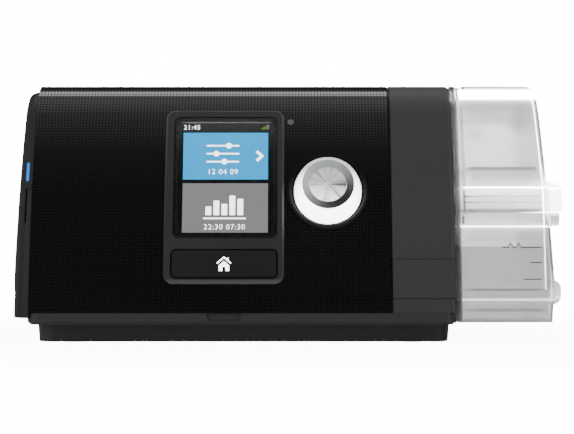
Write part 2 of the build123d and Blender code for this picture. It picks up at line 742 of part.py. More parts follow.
def make_dial_shaft():
    """The knob's shaft, with a flat for the rotor of the encoder."""
    shaft = extrude(Circle(SHAFT_RADIUS), amount=10.8)
    shaft -= block((2.2, 4), (-4, 4), (-1, 3.0))
    return DIAL.location * Pos(0, 0, -12.2) * shaft


def make_encoder_rotor():
    """The notched wheel that the shaft turns and slides through."""
    wheel = Circle(5.4) - (Circle(SHAFT_RADIUS + RUNNING) - Pos(4.3, 0) * Rectangle(4.0, 8))
    for number in range(8):
        wheel -= Rot(0, 0, 45 * number) * Pos(5.3, 0) * Rectangle(1.2, 0.9)
    return DIAL.location * Pos(0, 0, -11.9) * extrude(wheel, amount=1.4)


def make_encoder_body():
    """The encoder's housing between the dish and the board."""
    body = block((-7, 7), (-7, 7), (-14.2, -5.0))
    body -= Pos(0, 0, -15.0) * extrude(Circle(SHAFT_RADIUS + RUNNING), amount=12)
    body -= Pos(0, 0, -12.2) * extrude(Circle(5.8), amount=2.0)
    body = DIAL.location * body
    return body - panel_block((0, 33), (-38, 38), (-40, -BOARD_DEPTH))


def make_light_sensor_lens():
    """The small round window that reads the room's light."""
    place = normal_plane(SENSOR_X, SENSOR_Z)
    return place.location * Pos(0, 0, -3.2) * extrude(Circle(SENSOR_RADIUS), amount=3.1)


def make_start_button():
    """The wide key in the top, with its guide stem."""
    x, y = START_X, START_Y
    key = soft_block(x, y, (113.4, 125), 2.0) & case_block((-70, 10), START_DEPTH)
    key = chamfer(key.faces().sort_by(Axis.Z)[-1].outer_wire().edges(), 0.35)
    flange = block((x[0] - 0.9, x[1] + 0.9), (y[0] + 1, y[1] + 0.9), (111.9, 113.6))
    return key + flange + block(KEY_STEM_X, (-17, -13), (111.0, 112.5))


def make_start_switch():
    """The tact switch under the start button, on its own small board."""
    board = block((-61, 1), (-21, -9), (106.4, 108.0))
    switch = block(KEY_STEM_X, (-18, -12), (108.0, 109.2))
    return board + switch + rod((sum(KEY_STEM_X) / 2, -15, 109.0), (0, 0, 1), 1.5, 0.9)


# ---------------------------------------------------------------- dock

def make_dock_liner():
    """The inner walls of the bay that the tub's neck slides into."""
    outer = case_block((BAY_X, DOCK_X), WALL + 0.02, BAY_FLOOR, 10.4)
    liner = outer - case_block((BAY_X + 1.8, DOCK_X + 1), WALL + 1.8, 0, 12.0)
    liner -= rod((BAY_X - 2, *INLET), (1, 0, 0), 9.0, 6)
    return liner - rod((OUTLET[0], 40, OUTLET[1]), (0, 1, 0), OUTLET_RADIUS, 8)


def make_bay_seal():
    """The two soft rings that the tub's ports press against."""
    left = pipe((BAY_X, *INLET), (1, 0, 0), 9.0, INLET_RADIUS, 2.7)
    rear = pipe((OUTLET[0], OUTLET_START, OUTLET[1]), (0, -1, 0), OUTLET_RADIUS, OUTLET_BORE + 0.2, 2.3)
    return Compound(children=[left, rear])


def make_outlet_connector():
    """The standard air outlet with its flange behind the wall, turned about its bore."""
    seat = OUTLET_Y - OUTLET_START
    wall = seat + 2.0
    tip = OUTLET_TIP - OUTLET_START
    profile = [
        (OUTLET_BORE, 0), (13.5, 0), (13.5, seat), (OUTLET_COLLAR, seat), (OUTLET_COLLAR, wall),
        (OUTLET_RADIUS, wall), (OUTLET_RADIUS, tip - 0.4), (OUTLET_RADIUS - 0.4, tip), (OUTLET_BORE, tip),
    ]
    base = (OUTLET[0], OUTLET_START, OUTLET[1])
    return turned(profile, Plane(origin=base, x_dir=(1, 0, 0), z_dir=(0, 1, 0)))


def make_heater_plate():
    """The warm plate under the tub, set in the floor of the bay."""
    return soft_block(HEATER_X, HEATER_Y, (7.2, BAY_FLOOR), 4.0)


def make_heater_insulator():
    """The block that keeps the heat out of the plinth, cut round a foot's seat."""
    pad = block((HEATER_X[0] + 2, HEATER_X[1] - 2), (HEATER_Y[0] + 2, HEATER_Y[1] - 2), (3.0, 7.2))
    return pad - rod((FOOT_X[1], FOOT_Y[1], 0), (0, 0, 1), 8.5, 12)


# ---------------------------------------------------------------- water tub

def tub_run(lean, inset=0.0, floor=TUB_FLOOR):
    """The tub outside the dock: a run to an end that rolls over and leans about the bend's height."""
    width = max(TUB_ROUND - inset, 0.6)
    x = TUB_X - inset - width
    share = (x - COLLAR[1]) / (TUB_X - COLLAR[1])
    start = Plane.YZ.offset(COLLAR[1]) * case_outline(inset, inset, inset, floor)
    tilt = radians(lean * share)
    leaning = Plane(origin=(x, 0, TUB_BEND_Z), x_dir=(0, 1, 0), z_dir=(cos(tilt), 0, sin(tilt)))
    end = leaning * Pos(0, -TUB_BEND_Z) * case_outline(inset, inset, inset, floor)
    run = loft([start, end], ruled=True)
    step = (inset, inset, inset)
    roll = (width, width, width)
    rings = 4 if inset <= 0 else 3
    return run + rounded_end(x, 1, width, step, roll, (lean * share, lean), TUB_BEND_Z, floor, rings)


def tub_form(inset=0.0, floor=TUB_FLOOR):
    """The whole tub outside the dock, whose end draws in again below the bend."""
    foot = block((COLLAR[0], TUB_X + 10), (-90, 90), (0, TUB_BEND_Z))
    return (tub_run(TUB_LEAN, inset, floor) - foot) + (tub_run(-TUB_FOOT_LEAN, inset, floor) & foot)


def neck_form(inset=0.0, x=(NECK_X, COLLAR[1])):
    """The tub inside the dock."""
    gap = NECK_GAP + inset
    return extrude(
        Plane.YZ.offset(x[0]) * case_outline(gap, gap, NECK_REAR + inset, TUB_FLOOR + inset),
        amount=x[1] - x[0],
    )


def hinge_axis():
    """The lid hinge: a point on its axis, and its direction along the sloping top."""
    tilt = radians(TOP_SLOPE)
    start_y, start_z = crown_centre()
    z = start_z + (CROWN_RADIUS - BARREL_RADIUS - (HINGE_Y - start_y) * sin(tilt)) / cos(tilt)
    return Vector(HINGE_X, HINGE_Y, z), Vector(0, cos(tilt), -sin(tilt))


def hinge_rod(radius, start, end):
    """A round bar on the hinge axis, between two distances from its middle."""
    middle, along = hinge_axis()
    return rod(middle + along * start, along, radius, end - start)


def lid_region():
    """The space above the rim that the lid fills."""
    return block((LID_X, 130), (-90, 90), (RIM_Z + RIM_GAP / 2, 125))


def rim_band(z, proud, lean, far=0.0):
    """A raised band around the tub's outside."""
    band = tub_run(lean, -proud) & block((LID_X, 130), (-90, 90), z)
    return band - tub_run(lean, far)


def side_tab(outline, y, radius=0.0):
    """A tab that stands out of the tub's end, from its outline in (x, z) beyond the wall."""
    root = TUB_X - 5
    edge = Polyline((root, outline[0][1]), *outline, (root, outline[-1][1]), close=True)
    tab = Pos(0, y[1], 0) * extrude(Plane.XZ * make_face(edge), amount=y[1] - y[0])
    if radius:
        far = tab.edges().filter_by(Axis.Y).sort_by(Axis.X)[-2:]
        tab = fillet(far, radius)
    return tab


def make_tub_base():
    """The water tray, its collar at the dock and its neck with the air ports."""
    split = RIM_Z - RIM_GAP / 2
    tray = tub_form() & block((COLLAR[1] - 1, 130), (-90, 90), (0, split))
    tray += rim_band((52.4, split), 0.7, TUB_LEAN)
    tray += rim_band((18.2, 25.0), 0.7, -TUB_FOOT_LEAN)
    tray += side_tab([(116, split), (123.8, split), (123.8, 53.0), (123.0, 52.4)], (-40, 26))
    tray += side_tab([(123.0, 16.8), (123.0, TUB_BEND_Z)], (-52, 38), 4.0)
    tray -= tub_form(TUB_WALL, TUB_FLOOR + TUB_WALL)
    collar = case_block(COLLAR, 0.0, TUB_FLOOR)
    spigot = case_block((COLLAR[1], LID_X + 1.4), 2.2) - case_block((70, 90), 3.6, 0)
    collar += spigot & block((70, 90), (-90, 90), (split - 1.0, SPIGOT_TOP))
    base = tray + collar + neck_form() - neck_form(TUB_WALL, (NECK_X + TUB_WALL, COLLAR[1] + 5))
    base -= rod((NECK_X - 1, *INLET), (1, 0, 0), 7.0, 6)
    base -= rod((OUTLET[0], 38, OUTLET[1]), (0, 1, 0), OUTLET_BORE, 8)
    base -= hinge_rod(BARREL_RADIUS + 0.4, -22, 22)
    for start, end in TUB_KNUCKLES:
        base += knuckle(start, end, COLLAR[0] + 0.6, HINGE_X) - hinge_rod(PIN_RADIUS, -30, 30)
    base -= hinge_rod(PIN_RADIUS, -21, 21)
    base -= block(PLATE_X, PLATE_Y, (0, 20))
    return base & block((NECK_X, 130), (-75, 75), (0, 125))


def knuckle(start, end, low_x, high_x):
    """A hinge barrel with the leaf that joins it to its wall."""
    middle, along = hinge_axis()
    plane = Plane(origin=middle + along * start, x_dir=(1, 0, 0), z_dir=along)
    leaf = Rectangle(high_x - low_x, 1.7)
    place = Pos((low_x + high_x) / 2 - HINGE_X, -(BARREL_RADIUS - 0.85))
    return extrude(plane * (Circle(BARREL_RADIUS) + place * leaf), amount=end - start)


def make_tub_plate():
    """The metal plate in the tub's floor that lies over the heater."""
    top = TUB_FLOOR + TUB_WALL
    flange = block((PLATE_X[0] - 1, PLATE_X[1] + 2), (PLATE_Y[0] - 2, PLATE_Y[1] + 2), (top, top + 0.8))
    return block(PLATE_X, PLATE_Y, (TUB_FLOOR, top)) + flange


def make_tub_lid():
    """The hinged lid: top and upper walls of the tub outside the dock."""
    low = RIM_Z + RIM_GAP
    lid = (tub_run(TUB_LEAN) - tub_run(TUB_LEAN, TUB_WALL, 0)) & lid_region()
    lid += rim_band((RIM_Z + RIM_GAP / 2, LID_BAND_Z), 0.9, TUB_LEAN, TUB_WALL)
    grip = side_tab([(125.0, low), (124.0, 71.6), (117.0, 73.2)], (-44, 30))
    lid += chamfer(grip.edges().filter_by(Axis.Y).sort_by(Axis.X)[-2:], 1.2) - tub_run(TUB_LEAN, TUB_WALL, 0)
    middle, along = hinge_axis()
    relief = hinge_rod(BARREL_RADIUS + 0.45, -50, 45)
    lid -= relief & block((70, 90), (-30, 26), (100, 125))
    lid -= block((70, HINGE_X + 2.4), (middle.Y - 20.6, middle.Y + 20.6), (112, 125))
    for start, end in LID_KNUCKLES:
        lid += knuckle(start, end, HINGE_X, HINGE_X + 3.2) - hinge_rod(PIN_RADIUS + RUNNING, -30, 30)
    return lid


def make_lid_hinge_pin():
    """The pin of the lid hinge."""
    return hinge_rod(PIN_RADIUS, -20.5, 20.5)


def make_tub_baffle():
    """The guide inside the lid that keeps splashes from the outlet."""
    x = (82.0, 111.0)
    inside = tub_run(TUB_LEAN, TUB_WALL + 0.02, 0)
    shelf = inside & block(x, (-80, 60), (77.5, 79.3))
    flap = (inside - case_block(x, 3.6, 0)) & block(x, (-80, 0), (70, 77.5))
    return shelf + flap


def make_tub_gasket():
    """The seal between lid and tray, as a ring inside the lid's rim."""
    z = (RIM_Z + RIM_GAP / 2 - 0.05, RIM_Z + 1.4)
    outer = tub_run(TUB_LEAN, TUB_WALL + 0.02) & block((LID_X + 3, 130), (-90, 90), z)
    return outer - (tub_run(TUB_LEAN, TUB_WALL + 1.6, 0) & block((LID_X + 4.6, 130), (-90, 90), (0, 100)))


# ---------------------------------------------------------------- air path and electrics

def scroll(wall=0.0):
    """A snail outline about the blower's axis, in growing arcs that open into its straight outlet."""
    arcs = 4
    radius = SCROLL_RADIUS + wall
    steps = []
    for number in range(2 * arcs + 1):
        share = number / (2 * arcs)
        angle = radians(90 + 270 * share)
        reach = radius + SCROLL_GROWTH * share
        steps.append((BLOWER[0] + reach * cos(angle), BLOWER[1] + reach * sin(angle)))
    curve = [ThreePointArc(*steps[2 * i:2 * i + 3]) for i in range(arcs)]
    inner_y = DUCT_Y[0] - wall
    end_x = BLOWER[0] + radius + SCROLL_GROWTH
    rest = Polyline(steps[-1], (end_x, inner_y), (0, inner_y), (0, steps[0][1]), steps[0])
    return make_face(curve + rest.edges())


def make_blower_lower():
    """The lower half of the fan housing, with the motor's seat."""
    z0, z1 = BLOWER_Z
    split = (z0 + z1) / 2
    shell = extrude(Plane.XY.offset(z0) * scroll(BLOWER_WALL), amount=split - z0)
    shell -= extrude(Plane.XY.offset(z0 + BLOWER_WALL) * scroll(), amount=split)
    shell -= block((-2, 6), DUCT_Y, (z0 + BLOWER_WALL, z1))
    return shell - rod((*BLOWER, z0 - 1), (0, 0, 1), ROTOR_SHAFT + RUNNING, 5)


def make_blower_upper():
    """The upper half of the fan housing, with the inlet eye."""
    z0, z1 = BLOWER_Z
    split = (z0 + z1) / 2
    shell = extrude(Plane.XY.offset(split) * scroll(BLOWER_WALL), amount=z1 - split)
    shell -= extrude(Plane.XY.offset(split - 1) * scroll(), amount=z1 - split - 1)
    shell -= block((-2, 6), DUCT_Y, (z0 + BLOWER_WALL, z1 - BLOWER_WALL))
    shell += rod((*BLOWER, z1), (0, 0, 1), EYE_RADIUS + 2, 3.0)
    return shell - rod((*BLOWER, z1 - 5), (0, 0, 1), EYE_RADIUS, 12)


def make_impeller():
    """A backward-curved fan wheel: hub, back plate and blades, open at its eye."""
    wheel = extrude(Circle(IMPELLER_RADIUS), amount=1.4)
    wheel += turned([(0, 0), (7.5, 0), (4.2, 12), (0, 12)], Plane.XY)
    blade = ThreePointArc((9.0, 0), (18.4, 4.6), (26.8, 8.0))
    strip = extrude(trace(blade, 1.0), amount=BLADE_HEIGHT)
    for number in range(BLADES):
        wheel += Rot(0, 0, 360 * number / BLADES) * strip
    wheel -= Pos(0, 0, -1) * extrude(Circle(ROTOR_SHAFT), amount=20)
    return Pos(*BLOWER, BLOWER_Z[0] + 5.0) * wheel


def make_motor_shaft():
    """The fan's shaft, pressed into the wheel."""
    return rod((*BLOWER, BLOWER_Z[0] - 3.0), (0, 0, 1), ROTOR_SHAFT, 20.0)


def make_blower_motor():
    """The flat motor under the fan housing."""
    can = rod((*BLOWER, BOARD_TOP), (0, 0, 1), MOTOR_RADIUS, BLOWER_Z[0] - BOARD_TOP)
    return can - rod((*BLOWER, BLOWER_Z[0] - 3.2), (0, 0, 1), ROTOR_SHAFT + RUNNING, 5)


def make_blower_mount():
    """Three soft posts between the fan housing and the main board."""
    posts = []
    for number in range(3):
        angle = radians(90 + 120 * number)
        x = BLOWER[0] + MOUNT_CIRCLE * cos(angle)
        y = BLOWER[1] + MOUNT_CIRCLE * sin(angle)
        posts.append(rod((x, y, BOARD_TOP), (0, 0, 1), 4.0, BLOWER_Z[0] - BOARD_TOP))
    return Compound(children=posts)


def make_blower_duct():
    """The bent duct from the fan's mouth up to the bay."""
    y, z = INLET
    low, high = DUCT_Y[0] - 0.2, DUCT_Y[1] + 0.2
    duct = block((0.0, 27.0), (low - 2, high + 2), (BLOWER_Z[0], z + 12))
    duct -= block((-1, 25.0), (low + 1, high - 1), (BLOWER_Z[0] + 2, z + 10))
    duct -= block((-2, 3), (low - 4, high + 4), (BLOWER_Z[1], z + 20))
    duct += block((3, 5), (low - 2, high + 2), (BLOWER_Z[1], z + 12))
    duct += rod((25.0, y, z), (1, 0, 0), INLET_RADIUS + 2.3, BAY_X - 25.0)
    return duct - rod((20, y, z), (1, 0, 0), INLET_RADIUS, 20)


def make_inlet_muffler():
    """The sound-absorbing foam over the fan, with its air channel."""
    low = BLOWER_Z[1] + 3.0
    foam = soft_block((-88, -8), (-24, 45), (low, 98.0), 4.0)
    foam -= block((-74, -50), (-8, 50), (low - 1, 70))
    return foam - rod((*BLOWER, low - 1), (0, 0, 1), EYE_RADIUS, 12)


def make_main_board():
    """The power and drive board on the floor pan, with its capacitors and its coil."""
    board = block((-110, 27), (-62, 50), (BOARD_Z, BOARD_TOP))
    for number in range(3):
        board += rod((-16.0 + number * 9.0, -34.0, BOARD_TOP - 0.1), (0, 0, 1), 3.6, 11.0 - number)
    return board + block((-100, -84), (-56, -40), (BOARD_TOP - 0.1, BOARD_Z + 12))


def socket_window():
    """The opening for the power socket in the back wall."""
    x = (SOCKET_X - SOCKET_HALF, SOCKET_X + SOCKET_HALF)
    return block(x, (REAR_Y - 4, REAR_Y + 2), (BOARD_TOP, SOCKET_TOP))


def make_power_inlet():
    """The low-voltage socket at the rear."""
    body = block((SOCKET_X - SOCKET_HALF, SOCKET_X + SOCKET_HALF), (43.0, REAR_Y), (BOARD_TOP, SOCKET_TOP))
    mouth = (SOCKET_X - SOCKET_HALF + 2, SOCKET_X + SOCKET_HALF - 2)
    return body - soft_block(mouth, (46.0, REAR_Y + 1), (BOARD_TOP + 1.6, SOCKET_TOP - 1.8), 1.5, Axis.Y)


def clip_pivot(gap):
    """The clip's cross pin."""
    half = CLIP_EAR[0] + 1.0 + gap * 4
    return rod((SOCKET_X - half, CLIP_Y, CLIP_Z), (1, 0, 0), 0.8 + gap, 2 * half)


def clip_ears(out):
    """Two blocks beside the socket, from just inside the back wall to a distance behind it."""
    near, far = CLIP_EAR
    y = (REAR_Y - 1.0, REAR_Y + out)
    z = (CLIP_Z - 2.4, CLIP_Z + 2.4)
    return [block((SOCKET_X - far, SOCKET_X - near), y, z), block((SOCKET_X + near, SOCKET_X + far), y, z)]


def clip_seats():
    """The two shallow seats that the ears are let into."""
    left, right = clip_ears(1.0)
    return left + right


def make_clip_bracket():
    """The pair of ears that carry the plug's retaining clip, each with its outer corners cut."""
    ears = []
    for ear in clip_ears(3.2):
        outer = ear.edges().filter_by(Axis.X).sort_by(Axis.Y)[-2:]
        ears.append(chamfer(outer, 1.0) - clip_pivot(RUNNING))
    return Compound(children=ears)


def make_retention_clip():
    """The swinging clip that keeps the plug in, hanging beside the socket."""
    y = (CLIP_Y - 0.8, CLIP_Y + 0.8)
    half = CLIP_EAR[0] - 0.4
    x = (SOCKET_X - half, SOCKET_X + half)
    clip = block(x, y, (CLIP_Z - 0.9, CLIP_Z + 0.9))
    clip += block((x[0], x[0] + 1.6), y, (16.0, CLIP_Z))
    clip += block((x[1] - 1.6, x[1]), y, (16.0, CLIP_Z))
    clip += block(x, (y[0], y[1] + 1.0), (15.2, 17.0))
    return clip + clip_pivot(0)


def make_card_board():
    """The small board that carries the card socket."""
    return block((-118.0, -90.0), (-46, -14), (57.8, 59.2))


def make_card_socket():
    """The memory card's socket."""
    socket = block((-116.5, -93.0), (-41.0, -13.4), (59.2, 63.6))
    return socket - block((-120, -94.0), (-39.9, -15.1), (60.0, 62.5))


def make_memory_card():
    """The memory card, with its cut corner."""
    card = block((-120.4, -96.4), (-39.5, -15.5), (60.2, 62.3))
    return card - Pos(-96.4, -15.5, 61) * Rot(0, 0, 45) * Box(4, 4, 6)


def make_card_light():
    """The upright status light in the left cap."""
    return light_pill()


NODES = {
    "front_cover": make_front_cover,
    "dock_cover": make_dock_cover,
    "label_plate": make_label_plate,
    "rear_case": make_rear_case,
    "left_end_cap": make_left_end_cap,
    "lower_case": make_lower_case,
    "base_plinth": make_base_plinth,
    "feet": make_feet,
    "case_screws": make_case_screws,
    "screen_bezel": make_screen_bezel,
    "screen_lens": make_screen_lens,
    "lcd_panel": make_lcd_panel,
    "lcd_frame": make_lcd_frame,
    "control_board": make_control_board,
    "home_button": make_home_button,
    "home_switch": make_home_switch,
    "dial_surround": make_dial_surround,
    "dial_body": make_dial_body,
    "dial_ring": make_dial_ring,
    "dial_disc": make_dial_disc,
    "dial_shaft": make_dial_shaft,
    "encoder_rotor": make_encoder_rotor,
    "encoder_body": make_encoder_body,
    "light_sensor_lens": make_light_sensor_lens,
    "start_button": make_start_button,
    "start_switch": make_start_switch,
    "dock_liner": make_dock_liner,
    "bay_seal": make_bay_seal,
    "outlet_connector": make_outlet_connector,
    "heater_plate": make_heater_plate,
    "heater_insulator": make_heater_insulator,
    "tub_base": make_tub_base,
    "tub_plate": make_tub_plate,
    "tub_lid": make_tub_lid,
    "tub_baffle": make_tub_baffle,
    "tub_gasket": make_tub_gasket,
    "lid_hinge_pin": make_lid_hinge_pin,
    "blower_lower": make_blower_lower,
    "blower_upper": make_blower_upper,
    "impeller": make_impeller,
    "motor_shaft": make_motor_shaft,
    "blower_motor": make_blower_motor,
    "blower_mount": make_blower_mount,
    "blower_duct": make_blower_duct,
    "inlet_muffler": make_inlet_muffler,
    "main_board": make_main_board,
    "power_inlet": make_power_inlet,
    "clip_bracket": make_clip_bracket,
    "retention_clip": make_retention_clip,
    "filter_cover": make_filter_cover,
    "filter_frame": make_filter_frame,
    "air_filter": make_air_filter,
    "card_door": make_card_door,
    "card_light": make_card_light,
    "card_board": make_card_board,
    "card_socket": make_card_socket,
    "memory_card": make_memory_card,
    "adapter_cover": make_adapter_cover,
}

os.makedirs("parts", exist_ok=True)
for name, make in NODES.items():
    export_step(make(), f"parts/{name}.step")
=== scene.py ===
import json
import math

import bpy
import numpy as np
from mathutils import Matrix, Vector


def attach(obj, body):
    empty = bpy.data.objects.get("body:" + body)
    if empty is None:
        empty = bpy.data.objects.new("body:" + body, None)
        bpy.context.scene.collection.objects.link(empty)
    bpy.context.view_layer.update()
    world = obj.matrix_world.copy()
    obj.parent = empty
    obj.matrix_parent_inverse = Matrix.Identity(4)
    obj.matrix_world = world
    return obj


# The finishes, screen picture, printed marks and water of a bedside breathing-therapy machine.
# Lengths are in millimetres in the part's own frame, and MM makes them metres for meshes and nodes.

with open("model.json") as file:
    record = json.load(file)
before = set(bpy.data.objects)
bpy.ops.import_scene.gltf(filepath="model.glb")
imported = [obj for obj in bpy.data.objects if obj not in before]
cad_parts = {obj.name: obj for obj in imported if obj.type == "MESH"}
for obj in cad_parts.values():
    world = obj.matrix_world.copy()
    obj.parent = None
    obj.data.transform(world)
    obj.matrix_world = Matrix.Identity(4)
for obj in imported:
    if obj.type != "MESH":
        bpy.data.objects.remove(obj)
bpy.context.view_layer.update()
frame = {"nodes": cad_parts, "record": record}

MM = 0.001
BLACK = (0.0, 0.0, 0.0)
WHITE = (1.0, 1.0, 1.0)

# Case section
FRONT_RADIUS = 250.0
FRONT_Y = 172.6
FRONT_Z = -20.5
CROWN_RADIUS = 27.0
CROWN_Z = 91.0
CROWN_Y = FRONT_Y - math.sqrt((FRONT_RADIUS - CROWN_RADIUS) ** 2 - (CROWN_Z - FRONT_Z) ** 2)
TOP_SLOPE = math.radians(4.0)
REAR_Y = 57.0

# The lattice of pits in the polished cover
PIT_PITCH = 1.45
PIT_RADIUS = 0.36
PIT_DEPTH = 0.04
CROWN_TURN = math.radians(68.0)      # where the lattice starts to follow the crown's arc

# Screen, keys and knob
PANEL_Z = 66.1               # where the panel plane touches the front
LENS_X = (-52.6, -6.6)       # the window
LENS_Z = (47.8, 102.0)
DISPLAY_X = (-50.2, -9.0)
DISPLAY_Z = (49.6, 100.6)
DISPLAY_FACE = -4.8          # the display's face, behind the panel plane
HOME_GAP_X = (-53.5, -6.3)   # the bezel's opening round the home key
HOME_GAP_Z = (29.5, 41.8)
HOME_X = -29.9               # the middle of the home key
HOME_Z = 35.4
HOME_FACE = 1.0              # its face, in front of the polished cover
START_X = -30.0              # the middle of the start key
START_Y = -14.5
START_SUNK = 0.7             # its face, under the crown's arc
DIAL_X = 16.6
DIAL_Z = 68.6
SEAM_ROUND = 2.2             # the corners of the window and the home key
SEAM_OUT = 0.1               # the darkest line of the painted shadow in their gaps, outside the opening
SEAM_REACH = 0.5

# Tub
TUB_X = 117.7
TUB_ROUND = 3.0
TUB_BEND_Z = 28.0            # the end leans in above this height, and below it
TUB_LEAN = math.radians(2.7)
TUB_FOOT_LEAN = math.radians(4.1)
TUB_FLOOR = 11.7
TUB_WALL = 1.8
WATER_Z = 43.4
WATER_START_X = 41.0         # the water reaches this far into the dock
WATER_GAP = 0.06             # between the water and the wall
BEAD_START_X = 77.9
BEAD_RADIUS = 0.35
BEAD_PROUD = 0.75            # the middle of a bead, in front of the wall

# Painted highlights and painted shade of the clear tub. A pair is the places where a light or a tone starts
# and is full.
EDGE_STRENGTH = 10.0         # how bright its brightest painted rim highlight is
WALL_Y = (-10.0, -20.0)      # the front wall, from behind
CROWN_BAND_Z = 113.2         # the painted highlight band along the lid's crown
CROWN_BAND_REACH = 2.9
CROWN_BAND_Y = (-24.0, -28.0)
DOCK_END_X = (76.0, 76.4)    # painted rim highlights start to the right of the dock
CORNER_X = 113.4             # the painted highlight line up the front corner
CORNER_REACH = 0.32
CORNER_FOOT_Z = (24.2, 25.0)
CORNER_LID_Z = (52.0, 54.0)  # the line is brighter on the lid
CORNER_LEAN_Z = 70.0         # above this height it leans in with the lid's end
BEYOND_X = (113.7, 114.1)    # the round of the corner, beyond the line, is greyer: painted shade
BEYOND_FOOT_Z = (24.5, 25.5)
GRIP_X = (115.8, 116.6)      # painted light that makes the lid's grip look milky
GRIP_LOW_Z = (57.0, 59.0)
GRIP_HIGH_Z = (73.5, 72.5)
LID_HAZE_Z = (90.0, 98.0)    # the lid's haze is full above these heights

# Painted highlights along rims, as (height, reach, strength)
LID_RIM_HIGHLIGHTS = ((69.9, 0.4, 6.0),)
TRAY_RIM_HIGHLIGHTS = ((52.4, 0.4, 4.0), (19.9, 0.7, 0.6))

# Painted shade on the front wall, as (pair of x, pair of z, share of the colour, sharpness)
LID_PAINTED_SHADE = (
    ((76.4, 78.4), (56.0, 69.4), 0.3, 3.0),  # the slot beside the dock
    ((76.0, 112.5), (57.8, 59.2), 0.7, 3.0),  # the rim's lower edge
    ((76.0, 112.5), (73.0, 83.0), 0.93, 3.0),  # the baffle behind the wall
    ((96.0, 113.0), (93.0, 110.0), 0.42, 1.0),  # a soft shade in the top corner
    ((72.0, 116.0), (97.0, 113.0), 0.62, 2.0),  # all along under the crown
    ((76.0, 92.0), (88.0, 101.0), 0.75, 1.0),  # a soft shade beside the dock
)
TRAY_PAINTED_SHADE = (
    ((76.6, 77.9), (53.0, 57.6), 0.25, 3.0),  # the slot beside the dock
    ((73.2, 76.2), (-30.0, 150.0), 0.11, 3.0),  # the collar in the dock, at every height
    ((75.0, 116.0), (23.7, 24.9), 0.5, 3.0),  # over the bead
    ((75.0, 116.0), (14.5, 16.2), 0.6, 3.0),  # over the foot
    ((76.2, 112.5), (45.0, 51.9), 0.84, 3.0),  # between the rim and the water
)


# -------- flat outlines

def arc_line(u, v, radius, start, end, turns=24):
    """Points on a circle between two angles in degrees: the centre plus the radius times their cosine
    and sine."""
    angle = np.radians(np.linspace(start, end, turns))
    return np.stack([u + radius * np.cos(angle), v + radius * np.sin(angle)], 1)


def disc_outline(u, v, radius, turns=28):
    """A circle as an outline: a whole turn of an arc without its last point."""
    return arc_line(u, v, radius, 0.0, 360.0, turns + 1)[:-1]


def box_outline(u, v, radius=0.0, turns=5):
    """A rectangle between two pairs, its corners rounded by quarter circles."""
    if radius == 0.0:
        return np.array([[u[0], v[0]], [u[1], v[0]], [u[1], v[1]], [u[0], v[1]]])
    left, right = u[0] + radius, u[1] - radius
    low, high = v[0] + radius, v[1] - radius
    corners = ((right, low, -90.0), (right, high, 0.0), (left, high, 90.0), (left, low, 180.0))
    return np.concatenate([arc_line(x, y, radius, start, start + 90.0, turns) for x, y, start in corners])


def stroke(line, width):
    """A line of even width as an outline: each point moves along the mean of its runs' normals, by
    half the width over the cosine of half the turn."""
    line = np.asarray(line, float)
    run = np.diff(line, axis=0)
    run /= np.linalg.norm(run, axis=1, keepdims=True)
    normal = np.stack([run[:, 1], -run[:, 0]], 1)
    before, after = np.vstack([normal[:1], normal]), np.vstack([normal, normal[-1:]])
    mean = before + after
    mean /= np.linalg.norm(mean, axis=1, keepdims=True)
    offset = mean * (width / 2) / np.sum(mean * after, axis=1, keepdims=True)
    return np.concatenate([line + offset, (line - offset)[::-1]])


# -------- the case's forms

def front_y(z, inset=0.0):
    """Where the leaning front is at a height: a circle of FRONT_RADIUS about (FRONT_Y, FRONT_Z)."""
    return FRONT_Y - np.sqrt((FRONT_RADIUS - inset) ** 2 - (np.asarray(z, float) - FRONT_Z) ** 2)


def front_plane(x, z):
    """The plane that touches the front at a height, as (origin, right, up, out). The sine of its tilt is
    the height over FRONT_Z divided by FRONT_RADIUS."""
    tilt = math.asin((z - FRONT_Z) / FRONT_RADIUS)
    origin = np.array([x, float(front_y(z)), z])
    right = np.array([1.0, 0.0, 0.0])
    up = np.array([0.0, math.sin(tilt), math.cos(tilt)])
    out = np.array([0.0, -math.cos(tilt), math.sin(tilt)])
    return origin, right, up, out


def over_plane(plane, height=0.0):
    """The map of points (u, v) and a lift to a place over a plane, counted from a height off it:
    origin + u right + v up + (height + lift) out."""
    origin, right, up, out = plane

    def place(flat, lift):
        """The places of the points at one lift."""
        return origin + flat[:, :1] * right + flat[:, 1:2] * up + (height + lift) * out

    return place


def panel_v(z):
    """How far up the panel plane a point of the front at a height falls: its rise times the cosine of the
    plane's tilt, plus its run times the sine."""
    tilt = math.asin((PANEL_Z - FRONT_Z) / FRONT_RADIUS)
    return (z - PANEL_Z) * math.cos(tilt) + float(front_y(z) - front_y(PANEL_Z)) * math.sin(tilt)


def tub_end(z, inset):
    """The x of the tub's end at a height: TUB_X less the distance from the bend times the lean's tangent."""
    rise = np.asarray(z, float) - TUB_BEND_Z
    slope = np.where(rise > 0, math.tan(TUB_LEAN), math.tan(TUB_FOOT_LEAN))
    return TUB_X - inset - np.abs(rise) * slope


def tub_ring(z, inset, start, turns=9):
    """The tub's plan at a height, from an x at the front round the end to its rear, as (n, 3).
    Two straight sides and an end, joined by quarter circles of TUB_ROUND less the inset."""
    radius = TUB_ROUND - inset
    end = float(tub_end(z, inset))
    front = float(front_y(z, inset))
    rear = REAR_Y - inset
    front_corner = arc_line(end - radius, front + radius, radius, -90.0, 0.0, turns)
    rear_corner = arc_line(end - radius, rear - radius, radius, 0.0, 90.0, turns)
    plan = np.concatenate([[[start, front]], front_corner, rear_corner, [[start, rear]]])
    return np.column_stack([plan, np.full(len(plan), z)])


# -------- meshes

